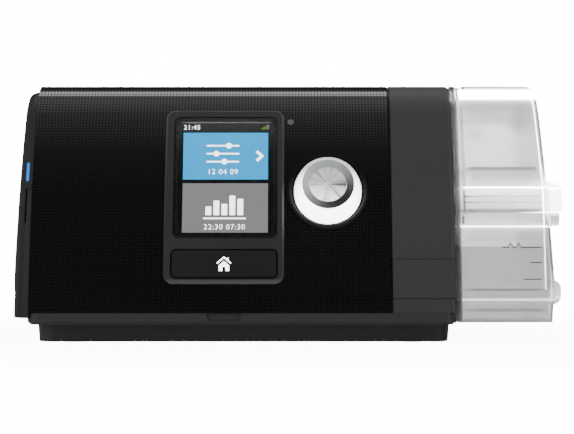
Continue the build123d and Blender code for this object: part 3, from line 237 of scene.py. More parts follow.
def tube(rings, inside_out=False):
    """Points and faces of a closed skin over rings of points, given as (rings, points, 3): quads from each
    ring to the next, and a flat face over either end. Rings that run the other way need it inside out."""
    rows, columns = rings.shape[:2]
    row, column = np.divmod(np.arange((rows - 1) * columns), columns)
    low, high, following = row * columns, (row + 1) * columns, (column + 1) % columns
    faces = np.stack([low + column, low + following, high + following, high + column], 1).tolist()
    faces += [list(range(columns))[::-1], list(range((rows - 1) * columns, rows * columns))]
    if inside_out:
        faces = [face[::-1] for face in faces]
    return rings.reshape(-1, 3), faces


def plate(outlines, place, low, high):
    """Points and faces of flat prints: each outline, anticlockwise, becomes a closed slab from low to high
    off the plane that `place` maps (u, v) and a height onto."""
    points, faces, count = [], [], 0
    for outline in outlines:
        outline = np.asarray(outline, float)
        size = len(outline)
        ring = np.arange(size) + count
        following = np.roll(ring, -1)
        points += [place(outline, low), place(outline, high)]
        faces += [(ring + size).tolist(), ring[::-1].tolist()]
        faces += np.stack([ring, following, following + size, ring + size], 1).tolist()
        count += 2 * size
    return np.concatenate(points), faces


def piece(name, points, faces, body, finish, smooth=False):
    """A mesh piece from points in millimetres that rides on a body and takes a finish."""
    mesh = bpy.data.meshes.new(name)
    mesh.from_pydata((np.asarray(points, float) * MM).tolist(), [], faces)
    mesh.polygons.foreach_set("use_smooth", np.full(len(mesh.polygons), smooth))
    mesh.materials.append(finish)
    mesh.update()
    thing = bpy.data.objects.new(name, mesh)
    bpy.context.collection.objects.link(thing)
    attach(thing, body)


# -------- shader helpers

def feed(tree, value, socket):
    """An input linked to another node's socket, or set to a plain value."""
    if isinstance(value, bpy.types.NodeSocket):
        tree.links.new(value, socket)
    else:
        socket.default_value = value


def add(tree, kind, inputs=None, **settings):
    """A node with its settings made, and its inputs set to values or linked to sockets."""
    node = tree.nodes.new(kind)
    for key, value in settings.items():
        setattr(node, key, value)
    for key, value in (inputs or {}).items():
        feed(tree, value, node.inputs[key])
    return node


def maths(tree, operation, first, second=0.0, third=0.0, clamp=False):
    """The result of a Math node on two or three numbers or sockets."""
    inputs = {0: first, 1: second, 2: third}
    return add(tree, "ShaderNodeMath", inputs, operation=operation, use_clamp=clamp).outputs[0]


def product(tree, first, *others):
    """Several values multiplied together."""
    for other in others:
        first = maths(tree, "MULTIPLY", first, other)
    return first


def hypotenuse(tree, first, second):
    """The length of two distances at right angles: the root of the sum of their squares."""
    squares = [product(tree, side, side) for side in (first, second)]
    return maths(tree, "SQRT", maths(tree, "ADD", *squares))


def remap(tree, value, low, high, new_low, new_high):
    """A value moved from one range to another, held inside the new one."""
    node = add(tree, "ShaderNodeMapRange", {"Value": value, "From Min": low, "From Max": high,
                                            "To Min": new_low, "To Max": new_high})
    return node.outputs["Result"]


def over(tree, value, pair, low=0.0, high=1.0):
    """A value in metres turned into one that goes from low to high over a pair of millimetres."""
    return remap(tree, value, pair[0] * MM, pair[1] * MM, low, high)


def scaled(colour, share):
    """A colour made darker or lighter, held at full brightness."""
    return tuple(min(c * share, 1.0) for c in colour)


def mix_colour(tree, share, first, second):
    """The result of mixing two colours, each three numbers or a socket."""
    node = add(tree, "ShaderNodeMix", {"Factor": share}, data_type="RGBA")
    for socket, value in ((node.inputs[6], first), (node.inputs[7], second)):
        feed(tree, (*value, 1.0) if isinstance(value, tuple) else value, socket)
    return node.outputs[2]


def noise(tree, where, scale, **inputs):
    """The value of a noise texture at a point."""
    return add(tree, "ShaderNodeTexNoise", {"Vector": where, "Scale": scale, **inputs}).outputs["Fac"]


def object_position(tree):
    """The point in the part's own frame, in metres."""
    return add(tree, "ShaderNodeTexCoord").outputs["Object"]


def split(tree, vector):
    """The X, Y and Z of a vector, as sockets by name."""
    return add(tree, "ShaderNodeSeparateXYZ", {"Vector": vector}).outputs


def effect(name, inputs, outputs):
    """A shader node group with named number inputs and outputs, as (group, its inputs, its output node)."""
    group = bpy.data.node_groups.new(name, "ShaderNodeTree")
    for label, value in inputs.items():
        socket = group.interface.new_socket(label, in_out="INPUT", socket_type="NodeSocketFloat")
        socket.default_value = value
    for label in outputs:
        group.interface.new_socket(label, in_out="OUTPUT", socket_type="NodeSocketFloat")
    entry = group.nodes.new("NodeGroupInput")
    leave = group.nodes.new("NodeGroupOutput")
    return group, entry.outputs, leave


def use(tree, group, **values):
    """A group placed in a material with its own values; underscores in their names stand for spaces."""
    inputs = {key.replace("_", " "): value for key, value in values.items()}
    return add(tree, "ShaderNodeGroup", inputs, node_tree=group).outputs


# -------- shared effects

def make_moulded_grain():
    """Fine spark-eroded texture, and the slow changes of gloss that a mould leaves."""
    tree, inputs, leave = effect("moulded grain", {"Grain Size": 0.4, "Cloud Size": 22.0},
                                 ("Height", "Gloss Shift", "Tone"))
    here = object_position(tree)
    fine_scale = maths(tree, "DIVIDE", 1.0 / MM, inputs["Grain Size"])
    slow_scale = maths(tree, "DIVIDE", 1.0 / MM, inputs["Cloud Size"])
    fine = noise(tree, here, fine_scale, Detail=3.0, Roughness=0.6)
    cells = add(tree, "ShaderNodeTexVoronoi", {"Vector": here, "Scale": fine_scale}, feature="SMOOTH_F1")
    slow = noise(tree, here, slow_scale, Detail=2.0, Roughness=0.5)
    tree.links.new(maths(tree, "MULTIPLY_ADD", cells.outputs["Distance"], 0.6, fine), leave.inputs["Height"])
    tree.links.new(maths(tree, "SUBTRACT", slow, 0.5), leave.inputs["Gloss Shift"])
    tree.links.new(maths(tree, "SUBTRACT", fine, 0.5), leave.inputs["Tone"])
    return tree


def make_smudges_and_reflections():
    """Faint finger grease and wiped streaks, and patches of painted reflection: a soft cloud stretched
    sideways, kept where it peaks.
    """
    tree, inputs, leave = effect("smudges_and_reflections", {"Patch Size": 30.0, "Cover": 0.5}, ("Mask",))
    stretched = add(tree, "ShaderNodeMapping", {"Vector": object_position(tree), "Scale": (0.55, 1.0, 1.6),
                                                "Rotation": (0.0, 0.25, 0.0)}).outputs["Vector"]
    scale = maths(tree, "DIVIDE", 1.0 / MM, inputs["Patch Size"])
    cloud = noise(tree, stretched, scale, Detail=5.0, Roughness=0.62, Distortion=0.6)
    floor = maths(tree, "SUBTRACT", 1.0, inputs["Cover"])
    above = maths(tree, "SUBTRACT", cloud, floor)
    tree.links.new(maths(tree, "MULTIPLY", above, 3.0, clamp=True), leave.inputs["Mask"])
    return tree


def make_case_run():
    """How far round the case section a point is, in metres: FRONT_RADIUS times its angle on the front,
    the height gained on the crown's front over the cosine that the front ends with, CROWN_RADIUS times
    the angle past CROWN_TURN, and the straight run of the top."""
    tree, inputs, leave = effect("distance round the case", {}, ("Run",))
    axes = split(tree, object_position(tree))
    joint = math.asin((CROWN_Z - FRONT_Z) / (FRONT_RADIUS - CROWN_RADIUS))
    crest = math.pi / 2 + TOP_SLOPE
    front, crown = [maths(tree, "ARCTAN2", maths(tree, "SUBTRACT", axes["Z"], z * MM),
                          maths(tree, "SUBTRACT", y * MM, axes["Y"]))
                    for y, z in ((FRONT_Y, FRONT_Z), (CROWN_Y, CROWN_Z))]
    on_front = product(tree, maths(tree, "MINIMUM", front, joint), FRONT_RADIUS * MM)
    steep = maths(tree, "MINIMUM", maths(tree, "MAXIMUM", crown, joint), CROWN_TURN)
    rise = maths(tree, "SUBTRACT", maths(tree, "SINE", steep), math.sin(joint))
    flat = maths(tree, "SUBTRACT", maths(tree, "MINIMUM", crown, crest), CROWN_TURN)
    on_crown = maths(tree, "MULTIPLY_ADD", rise, 1.0 / math.cos(joint), maths(tree, "MAXIMUM", flat, 0.0))
    on_crown = product(tree, on_crown, CROWN_RADIUS * MM)
    crest_y = (CROWN_Y + CROWN_RADIUS * math.sin(TOP_SLOPE)) * MM
    on_top = maths(tree, "MAXIMUM", maths(tree, "SUBTRACT", axes["Y"], crest_y), 0.0)
    total = maths(tree, "ADD", on_front, maths(tree, "ADD", on_crown, on_top))
    tree.links.new(total, leave.inputs["Run"])
    return tree


def make_dot_lattice():
    """A square lattice of round dots: one where the distance to the nearest lattice point is small."""
    values = {"Across": 0.0, "Along": 0.0, "Pitch": PIT_PITCH * MM, "Radius": PIT_RADIUS * MM}
    tree, inputs, leave = effect("dot lattice", values, ("Dot",))
    offsets = []
    for label in ("Across", "Along"):
        share = maths(tree, "FRACT", maths(tree, "DIVIDE", inputs[label], inputs["Pitch"]))
        offsets.append(product(tree, maths(tree, "SUBTRACT", share, 0.5), inputs["Pitch"]))
    inner, outer = [product(tree, inputs["Radius"], share) for share in (0.75, 1.25)]
    dot = remap(tree, hypotenuse(tree, *offsets), inner, outer, 1.0, 0.0)
    tree.links.new(dot, leave.inputs["Dot"])
    return tree


def make_edge_light():
    """One where a value is near a place, falling to nothing at the reach: over all of it where it is soft
    (sharpness 1), over the outer third where it is crisp (sharpness 3)."""
    values = {"Value": 0.0, "Place": 0.1, "Reach": 0.001, "Sharpness": 3.0}
    tree, inputs, leave = effect("edge light", values, ("Light",))
    away = maths(tree, "ABSOLUTE", maths(tree, "SUBTRACT", inputs["Value"], inputs["Place"]))
    share = maths(tree, "SUBTRACT", 1.0, maths(tree, "DIVIDE", away, inputs["Reach"]))
    tree.links.new(maths(tree, "MULTIPLY", share, inputs["Sharpness"], clamp=True), leave.inputs["Light"])
    return tree


GRAIN = make_moulded_grain()
SMUDGES_AND_REFLECTIONS = make_smudges_and_reflections()
CASE_RUN = make_case_run()
DOTS = make_dot_lattice()
EDGE_LIGHT = make_edge_light()


def near(tree, value, place, reach, sharpness=3.0):
    """The edge light of a value in metres, with its place and reach in millimetres."""
    outputs = use(tree, EDGE_LIGHT, Value=value, Place=place * MM, Reach=reach * MM, Sharpness=sharpness)
    return outputs["Light"]


def in_box(tree, axes, x, z, sharpness):
    """One in the middle of a box given by a pair of x and a pair of z, nothing outside it."""
    return product(tree, *[near(tree, axes[axis], (low + high) / 2, (high - low) / 2, sharpness)
                           for axis, (low, high) in (("X", x), ("Z", z))])


def gap_shadow(tree, axes, x, z):
    """Painted shadow in the gap round an opening: one where the distance from the opening, drawn in by
    SEAM_ROUND, is about SEAM_ROUND, so that the gap's corners are round."""
    outside = []
    for axis, (low, high) in (("X", x), ("Z", z)):
        away = maths(tree, "ABSOLUTE", maths(tree, "SUBTRACT", axes[axis], (low + high) / 2 * MM))
        past = maths(tree, "SUBTRACT", away, ((high - low) / 2 - SEAM_ROUND) * MM)
        outside.append(maths(tree, "MAXIMUM", past, 0.0))
    return near(tree, hypotenuse(tree, *outside), SEAM_ROUND + SEAM_OUT, SEAM_REACH)


# -------- finishes

def new_finish(name):
    """An empty material as (material, its tree, its shader)."""
    material = bpy.data.materials.new(name)
    material.use_nodes = True
    tree = material.node_tree
    return material, tree, tree.nodes["Principled BSDF"]


def set_shader(tree, shader, **values):
    """The shader's own sockets, linked or set to plain values; underscores stand for spaces."""
    for key, value in values.items():
        feed(tree, value, shader.inputs[key.replace("_", " ")])


def bump(tree, shader, height, strength, distance):
    """A bump of a real height, in millimetres."""
    node = add(tree, "ShaderNodeBump", {"Height": height, "Strength": strength, "Distance": distance * MM})
    set_shader(tree, shader, Normal=node.outputs["Normal"])


def moulded(name, colour, roughness, grain=0.4, depth=0.03, smudge=0.0, gloss=0.5, painted_light=None, gap_shadows=()):
    """Moulded plastic: an eroded texture, gloss that drifts, and touches of grease where hands go. Painted
    light makes it lighter over a pair of heights, as (pair, gain), and painted shadow darkens the gaps round
    openings, each as a pair of x and a pair of z."""
    material, tree, shader = new_finish(name)
    texture = use(tree, GRAIN, Grain_Size=grain)
    rough = maths(tree, "MULTIPLY_ADD", texture["Gloss Shift"], 0.12, roughness)
    if smudge:
        mask = use(tree, SMUDGES_AND_REFLECTIONS, Patch_Size=26.0, Cover=0.5)["Mask"]
        rough = maths(tree, "MULTIPLY_ADD", mask, -smudge, rough)
    share = maths(tree, "ADD", texture["Tone"], 0.5, clamp=True)
    body = mix_colour(tree, share, scaled(colour, 0.8), scaled(colour, 1.25))
    axes = split(tree, object_position(tree))
    # painted light: lighter over a pair of heights
    if painted_light:
        heights, gain = painted_light
        body = mix_colour(tree, over(tree, axes["Z"], heights), body, scaled(colour, gain))
    # painted shadow in the gaps round openings
    for x, z in gap_shadows:
        body = mix_colour(tree, gap_shadow(tree, axes, x, z), body, scaled(colour, 0.05))
    set_shader(tree, shader, Base_Color=body, Roughness=rough, Specular_IOR_Level=gloss)
    bump(tree, shader, texture["Height"], 0.5, depth)
    return material


def polished_cover():
    """Polished black with a lattice of fine matt pits under wiped grease. A warm and a cool film tint its
    colour as painted reflections, and the warm one also drifts its gloss. The pits are painted lighter than
    the skin low on the front and darker high up: painted light and shade."""
    material, tree, shader = new_finish("polished_black_lattice")
    axes = split(tree, object_position(tree))
    run = use(tree, CASE_RUN)["Run"]
    dot = use(tree, DOTS, Across=axes["X"], Along=run, Pitch=PIT_PITCH * MM, Radius=PIT_RADIUS * MM)["Dot"]
    # painted reflection: warm and cool tinted films in the skin's colour; the warm one also drifts the gloss
    warm = use(tree, SMUDGES_AND_REFLECTIONS, Patch_Size=70.0, Cover=0.5)["Mask"]
    cool = use(tree, SMUDGES_AND_REFLECTIONS, Patch_Size=55.0, Cover=0.42)["Mask"]
    skin = mix_colour(tree, warm, (0.0012, 0.0012, 0.0013), (0.0036, 0.0026, 0.0018))
    skin = mix_colour(tree, product(tree, cool, 0.6), skin, (0.0014, 0.0022, 0.0034))
    # painted light and shade: the pits are lighter than the skin low on the front and darker high up
    high = over(tree, axes["Z"], (78.0, 98.0))
    pit = mix_colour(tree, high, (0.0045, 0.0045, 0.0046), (0.0008, 0.0008, 0.0009))
    rough = maths(tree, "MAXIMUM", maths(tree, "MULTIPLY_ADD", warm, 0.06, 0.3), product(tree, dot, 0.8))
    coat = maths(tree, "MULTIPLY_ADD", dot, -0.9, 0.9, clamp=True)
    set_shader(tree, shader, Base_Color=mix_colour(tree, dot, skin, pit), Roughness=rough, Coat_Weight=coat,
               Specular_IOR_Level=0.06, Coat_Roughness=0.06)
    bump(tree, shader, product(tree, dot, -1.0), 0.7, PIT_DEPTH)
    return material


def frosted_colour(tree, places, clear, painted_shade_boxes):
    """The clear tub's colour: hazed in patches, greyer where it turns away, with painted shade in boxes on
    the front wall and beyond the painted highlight line of its front corner."""
    axes, wall, upright, grip = places
    hazed, turned_away, beyond = [scaled(clear, share) for share in (0.6, 0.55, 0.66)]
    haze = use(tree, SMUDGES_AND_REFLECTIONS, Patch_Size=34.0, Cover=0.5)["Mask"]
    haze = product(tree, haze, over(tree, axes["Z"], LID_HAZE_Z, 0.2))
    edge = add(tree, "ShaderNodeLayerWeight", {"Blend": 0.35}).outputs["Facing"]
    body = mix_colour(tree, haze, clear, hazed)
    body = mix_colour(tree, maths(tree, "POWER", edge, 2.5), body, turned_away)
    # painted shade in boxes on the front wall
    for x, z, share, sharpness in painted_shade_boxes:
        cover = product(tree, in_box(tree, axes, x, z, sharpness), wall)
        body = mix_colour(tree, cover, body, scaled(clear, share))
    # painted shade beyond the front corner's highlight line
    cover = product(tree, over(tree, upright, BEYOND_X), wall, over(tree, axes["Z"], BEYOND_FOOT_Z),
                    maths(tree, "SUBTRACT", 1.0, grip))
    return mix_colour(tree, cover, body, beyond)


def painted_highlights(tree, places, rims):
    """The painted highlights in the clear tub's rims, its crown, its front corner and its grip, from 0 to 1.
    """
    axes, wall, upright, grip = places
    glow = 0.0
    for height, reach, strength in rims:
        light = near(tree, axes["Z"], height, reach)
        glow = maths(tree, "MULTIPLY_ADD", light, strength / EDGE_STRENGTH, glow)
    crown = near(tree, axes["Z"], CROWN_BAND_Z, CROWN_BAND_REACH)
    crown = product(tree, crown, over(tree, axes["Y"], CROWN_BAND_Y), 0.9)
    glow = product(tree, maths(tree, "MAXIMUM", glow, crown), over(tree, axes["X"], DOCK_END_X))
    corner = product(tree, near(tree, upright, CORNER_X, CORNER_REACH), wall,
                     over(tree, axes["Z"], CORNER_FOOT_Z), over(tree, axes["Z"], CORNER_LID_Z, 0.18, 0.5))
    grip_light = product(tree, over(tree, axes["X"], GRIP_X, 0.0, 0.18), grip)
    return maths(tree, "ADD", maths(tree, "ADD", glow, corner), grip_light, clamp=True)


def frosted_clear(name, clear, rims, painted_shade_boxes):
    """Clear moulded plastic with a light frost, with painted highlights (emission) in its rims, crown, front
    corner and grip.
    """
    material, tree, shader = new_finish(name)
    texture = use(tree, GRAIN, Grain_Size=0.9, Cloud_Size=30.0)
    axes = split(tree, object_position(tree))
    wall = over(tree, axes["Y"], WALL_Y)
    over_lean = maths(tree, "MAXIMUM", maths(tree, "SUBTRACT", axes["Z"], CORNER_LEAN_Z * MM), 0.0)
    upright = maths(tree, "MULTIPLY_ADD", over_lean, math.tan(TUB_LEAN), axes["X"])
    grip = product(tree, over(tree, axes["Z"], GRIP_LOW_Z), over(tree, axes["Z"], GRIP_HIGH_Z))
    places = (axes, wall, upright, grip)
    # painted highlights, as emission
    glow = mix_colour(tree, painted_highlights(tree, places, rims), BLACK, WHITE)
    set_shader(tree, shader, Base_Color=frosted_colour(tree, places, clear, painted_shade_boxes), Emission_Color=glow,
               Roughness=maths(tree, "MULTIPLY_ADD", texture["Gloss Shift"], 0.1, 0.2),
               Transmission_Weight=0.88, IOR=1.3, Coat_Weight=0.15, Coat_Roughness=0.05,
               Emission_Strength=EDGE_STRENGTH)
    bump(tree, shader, texture["Height"], 0.12, 0.02)
    return material


def still_water():
    """Still water, a little greyer than the tub round it."""
    material, tree, shader = new_finish("still_water")
    ripples = noise(tree, object_position(tree), 45.0, Detail=1.0)
    set_shader(tree, shader, Base_Color=(0.54, 0.535, 0.525, 1.0), Transmission_Weight=0.92, IOR=1.06,
               Roughness=0.1)
    bump(tree, shader, ripples, 0.2, 0.2)
    return material


def window_glass():
    """The screen's window: clear, polished and a little smudged."""
    material, tree, shader = new_finish("screen_window")
    mask = use(tree, SMUDGES_AND_REFLECTIONS, Patch_Size=14.0, Cover=0.5)["Mask"]
    set_shader(tree, shader, Roughness=maths(tree, "MULTIPLY_ADD", mask, 0.03, 0.02),
               Base_Color=(0.98, 0.98, 0.98, 1.0), Transmission_Weight=1.0, IOR=1.42, Specular_IOR_Level=0.2)
    return material


def dial_axes(tree):
    """How far a point is from the knob's axis to the right and upwards, in metres."""
    origin, right, up = front_plane(DIAL_X, DIAL_Z)[:3]
    offset = add(tree, "ShaderNodeVectorMath", {0: object_position(tree), 1: tuple(origin * MM)},
                 operation="SUBTRACT").outputs[0]
    return [add(tree, "ShaderNodeVectorMath", {0: offset, 1: tuple(axis)},
                operation="DOT_PRODUCT").outputs["Value"] for axis in (right, up)]


def knob_plastic():
    """Milky clear plastic under a polished skin, with painted light (emission) that grows towards its foot.
    """
    material, tree, shader = new_finish("milky_knob")
    texture = use(tree, GRAIN, Grain_Size=0.5, Cloud_Size=12.0)
    height = dial_axes(tree)[1]
    # painted light: the emission grows towards the knob's foot
    foot = over(tree, height, (8.0, -7.0), 0.02)
    set_shader(tree, shader, Emission_Color=mix_colour(tree, foot, BLACK, WHITE), Emission_Strength=7.0,
               Roughness=maths(tree, "MULTIPLY_ADD", texture["Gloss Shift"], 0.06, 0.2),
               Base_Color=(0.93, 0.94, 0.95, 1.0), Subsurface_Weight=0.5, Subsurface_Scale=4.0 * MM,
               Coat_Weight=0.6, Coat_Roughness=0.05)
    return material


def turned_metal(name, colour, roughness, pitch, swing, fan, spoke=0.0, painted_glow=0.0):
    """Lathe-turned metal about the knob's axis: rings of a pitch, and in its colour painted light and shade:
    one slow swing of light round the axis, a fan of uneven rays, and thin dark spokes along two diameters.
    A painted glow (emission) grows downwards."""
    bright_side = math.radians(130.0)
    spokes = ((0.0, 1.0), (2.3, 0.8))        # the turn of each in radians, and how dark it is
    material, tree, shader = new_finish(name)
    u, v = dial_axes(tree)
    turns = maths(tree, "DIVIDE", hypotenuse(tree, u, v), pitch * MM)
    rings = add(tree, "ShaderNodeTexNoise", {"W": turns, "Scale": 1.0, "Detail": 3.0},
                noise_dimensions="1D").outputs["Fac"]
    # painted light and shade: a swing of light round the axis, uneven rays and dark spokes
    angle = maths(tree, "ARCTAN2", v, u)
    slow = product(tree, maths(tree, "COSINE", maths(tree, "SUBTRACT", angle, bright_side)), swing)
    around = add(tree, "ShaderNodeCombineXYZ", {"X": maths(tree, "COSINE", angle),
                                                "Y": maths(tree, "SINE", angle)}).outputs["Vector"]
    rays = noise(tree, around, 2.4, Detail=2.0)
    uneven = product(tree, maths(tree, "SUBTRACT", rays, 0.5), fan)
    dark = 0.0
    for turn, depth in spokes:
        line = maths(tree, "ABSOLUTE", maths(tree, "COSINE", maths(tree, "SUBTRACT", angle, turn)))
        dark = maths(tree, "MULTIPLY_ADD", maths(tree, "POWER", line, 160.0), -spoke * depth, dark)
    grooves = product(tree, maths(tree, "SUBTRACT", rings, 0.5), 0.5)
    shade = maths(tree, "ADD", maths(tree, "ADD", slow, uneven), maths(tree, "ADD", dark, grooves))
    shade = maths(tree, "ADD", shade, 0.62, clamp=True)
    # painted light: a glow that grows downwards
    light = product(tree, shade, over(tree, v, (1.0, -6.0), 0.1))
    set_shader(tree, shader, Base_Color=mix_colour(tree, shade, scaled(colour, 0.06), colour),
               Roughness=maths(tree, "MULTIPLY_ADD", rings, 0.12, roughness), Metallic=0.85,
               Emission_Color=mix_colour(tree, light, BLACK, WHITE), Emission_Strength=painted_glow)
    bump(tree, shader, rings, 0.3, 0.02)
    return material


def lit(name, colour, strength):
    """A lit layer of the display or the indicator, with the fine stripes of its pixels."""
    pixel_pitch = 0.18
    material, tree, shader = new_finish(name)
    across = split(tree, object_position(tree))["X"]
    pixel = maths(tree, "SINE", product(tree, across, 2 * math.pi / (pixel_pitch * MM)))
    level = maths(tree, "MULTIPLY_ADD", pixel, 0.04, 0.96)
    set_shader(tree, shader, Emission_Color=mix_colour(tree, level, scaled(colour, 0.85), colour),
               Base_Color=(0.004, 0.004, 0.004, 1.0), Roughness=0.5, Specular_IOR_Level=0.1,
               Emission_Strength=strength)
    return material


def printed(name, colour, glow=0.0):
    """Pad-printed ink with a slightly uneven gloss; where it glows, the glow is painted light."""
    material, tree, shader = new_finish(name)
    texture = use(tree, GRAIN, Grain_Size=0.25)
    share = maths(tree, "ADD", texture["Tone"], 0.5, clamp=True)
    set_shader(tree, shader, Base_Color=mix_colour(tree, share, scaled(colour, 0.9), colour),
               Roughness=maths(tree, "MULTIPLY_ADD", texture["Gloss Shift"], 0.1, 0.5),
               Emission_Color=(1.0, 1.0, 1.0, 1.0), Emission_Strength=glow)
    return material


def brushed_metal(name, colour, roughness):
    """Rolled sheet metal with fine scratches along the machine."""
    material, tree, shader = new_finish(name)
    drawn = add(tree, "ShaderNodeMapping", {"Vector": object_position(tree), "Scale": (60.0, 2500.0, 2500.0)})
    lines = noise(tree, drawn.outputs["Vector"], 1.0, Detail=3.0)
    set_shader(tree, shader, Base_Color=mix_colour(tree, lines, scaled(colour, 0.75), colour), Metallic=1.0,
               Roughness=maths(tree, "MULTIPLY_ADD", lines, 0.15, roughness))
    bump(tree, shader, lines, 0.2, 0.01)
    return material


FINISHES = {
    "gloss_black": polished_cover(),
    "band_grey": moulded("band_moulding", (0.0245, 0.0245, 0.0243), 0.55, smudge=0.05, gloss=0.2),
    "case_dark": moulded("case_moulding", (0.0215, 0.0215, 0.0207), 0.5, grain=0.5, gloss=0.2),
    "cap_dark": moulded("cap_moulding", (0.0115, 0.0109, 0.0108), 0.5, smudge=0.05, gloss=0.12),
    "plinth_dark": moulded("plinth_moulding", (0.0235, 0.0235, 0.0225), 0.55, grain=0.5, gloss=0.3),
    # painted light on the lower bevel, and painted shadow in the gaps round the window and the home key
    "bezel_dark": moulded("bezel_moulding", (0.0175, 0.0175, 0.0172), 0.4, depth=0.02, smudge=0.06,
                          gloss=0.25, painted_light=((29.4, 27.9), 3.2),
                          gap_shadows=((LENS_X, LENS_Z), (HOME_GAP_X, HOME_GAP_Z))),
    "key_dark": moulded("key_moulding", (0.0096, 0.0096, 0.0096), 0.35, depth=0.02, smudge=0.08, gloss=0.25),
    "screen_glass": window_glass(),
    # painted light: the display face is lighter towards its top
    "display": moulded("display_face", (0.0075, 0.0072, 0.0075), 0.4, depth=0.004, gloss=0.1,
                       painted_light=((92.0, 101.0), 4.0)),
    "dish_dark": moulded("dish_moulding", (0.0042, 0.0042, 0.0041), 0.6, depth=0.01, gloss=0.06),
    "knob_clear": knob_plastic(),
    # painted light and shade round the turned ring
    "knob_metal": turned_metal("turned_knob_ring", (0.50, 0.52, 0.53), 0.42, pitch=0.35, swing=0.66, fan=0.2),
    "steel": brushed_metal("plain_steel", (0.55, 0.55, 0.56), 0.3),
    "sensor": moulded("sensor_window", (0.075, 0.075, 0.077), 0.25, depth=0.004, gloss=0.3),
    "light_blue": lit("blue_light", (0.0, 0.27, 1.0), 1.15),
    "tub_clear": frosted_clear("frosted_clear_lid", (0.97, 0.97, 0.965), LID_RIM_HIGHLIGHTS, LID_PAINTED_SHADE),
    "tub_plate": brushed_metal("tub_plate_steel", (0.6, 0.6, 0.6), 0.28),
    "gasket": moulded("seal_silicone", (0.75, 0.76, 0.76), 0.4),
    "rubber_dark": moulded("dark_rubber", (0.022, 0.022, 0.022), 0.75, grain=0.7, depth=0.05),
    "heater": brushed_metal("heater_aluminium", (0.45, 0.45, 0.46), 0.35),
    "insulator": moulded("insulator_fibre", (0.3, 0.28, 0.24), 0.85, grain=1.2, depth=0.1),
    "white_plastic": moulded("inner_white_moulding", (0.7, 0.7, 0.68), 0.5),
    "impeller_plastic": moulded("fan_wheel_moulding", (0.6, 0.62, 0.64), 0.4),
    "foam": moulded("open_foam", (0.07, 0.07, 0.08), 0.95, grain=1.4, depth=0.5),
    "filter_white": moulded("filter_paper", (0.75, 0.77, 0.78), 0.9, grain=0.6, depth=0.1),
    "board_green": moulded("board_coating", (0.02, 0.12, 0.05), 0.35, grain=0.8),
    "socket_black": moulded("socket_moulding", (0.014, 0.014, 0.014), 0.4),
    "card_blue": moulded("card_moulding", (0.04, 0.1, 0.3), 0.4),
}
TRAY_CLEAR = frosted_clear("frosted_clear_tray", (0.81, 0.808, 0.802), TRAY_RIM_HIGHLIGHTS, TRAY_PAINTED_SHADE)
WATER = still_water()
# painted light: the white ink glows
WHITE_INK = printed("white_ink", (0.85, 0.85, 0.85), glow=4.0)
MARK_INK = printed("grey_mark_ink", (0.012, 0.012, 0.012))
FAINT_INK = printed("faint_key_ink", (0.16, 0.16, 0.16))
SCREEN_WHITE = lit("screen_white", (1.0, 1.0, 1.0), 4.0)
SCREEN_CYAN = lit("screen_cyan", (0.0, 0.46, 1.0), 1.3)
SCREEN_GREY = lit("screen_grey", (0.29, 0.29, 0.29), 1.0)
SCREEN_GREEN = lit("screen_green", (0.37, 1.0, 0.04), 0.42)
# painted light and shade on the disc, with a painted glow
DISC_METAL = turned_metal("turned_knob_disc", (0.85, 0.85, 0.85), 0.5, pitch=0.45, swing=0.08, fan=1.1,
                          spoke=0.4, painted_glow=3.0)
# painted light: the border print is lighter towards its top
SCREEN_BLACK = moulded("screen_border_print", (0.008, 0.008, 0.008), 0.5, depth=0.002, gloss=0.1,
                       painted_light=((92.0, 101.0), 3.0))

for part in frame["record"]["subparts"]:
    node = frame["nodes"][part["node"]]
    node.material_slots[0].material = FINISHES[part["material_slot"]]
frame["nodes"]["dial_disc"].material_slots[0].material = DISC_METAL
frame["nodes"]["tub_base"].material_slots[0].material = TRAY_CLEAR


# -------- screen picture

ON_DISPLAY = over_plane(front_plane(0.0, PANEL_Z), DISPLAY_FACE)
TILE_X = (-49.1, -10.4)
CYAN_Z = (75.1, 95.9)
GREY_Z = (50.2, 73.4)
LAYER = 0.05                 # from one layer of the display to the next
LAYER_DEPTH = 0.04
PICTURE_LAYER = 2            # the layer of the tiles' white pictures and digits


def display_piece(name, outlines, layer, finish):
    """A printed or lit layer of the display."""
    points, faces = plate(outlines, ON_DISPLAY, LAYER * layer, LAYER * layer + LAYER_DEPTH)
    piece(name, points, faces, "machine", finish)


def build_screen_border():
    """The black print inside the window's edge: two rings of a rounded rectangle, bent to the window's
    arc, with a second pair just behind them."""
    outer = box_outline((LENS_X[0] + 0.05, LENS_X[1] - 0.05), (LENS_Z[0] + 0.1, LENS_Z[1] - 0.1), 2.2, 7)
    inner = box_outline(DISPLAY_X, DISPLAY_Z, 0.4, 7)
    points = [np.column_stack([ring[:, 0], front_y(ring[:, 1], inset), ring[:, 1]])
              for inset in (0.40, 0.46) for ring in (outer, inner)]
    size = len(outer)
    front_outer, front_inner, back_outer, back_inner = (np.arange(size) + size * i for i in range(4))
    faces = []
    for first, second in ((front_outer, front_inner), (front_inner, back_inner),
                          (back_inner, back_outer), (back_outer, front_outer)):
        faces += np.stack([first, np.roll(first, -1), np.roll(second, -1), second], 1).tolist()
    piece("screen_border", np.concatenate(points), faces, "machine", SCREEN_BLACK)


def slider_picture(u, v):
    """Three level rails with a round slider on each, for settings, about a middle point."""
    half_rail, half_width, spacing, slider_radius = 7.4, 0.35, 3.9, 1.35
    rails, sliders = [], []
    for row, share in enumerate((0.68, 0.3, 0.55)):
        height = v + spacing * (1 - row)
        rails.append(box_outline((u - half_rail, u + half_rail), (height - half_width, height + half_width)))
        sliders.append(disc_outline(u - half_rail + 2 * half_rail * share, height, slider_radius))
    return rails, sliders


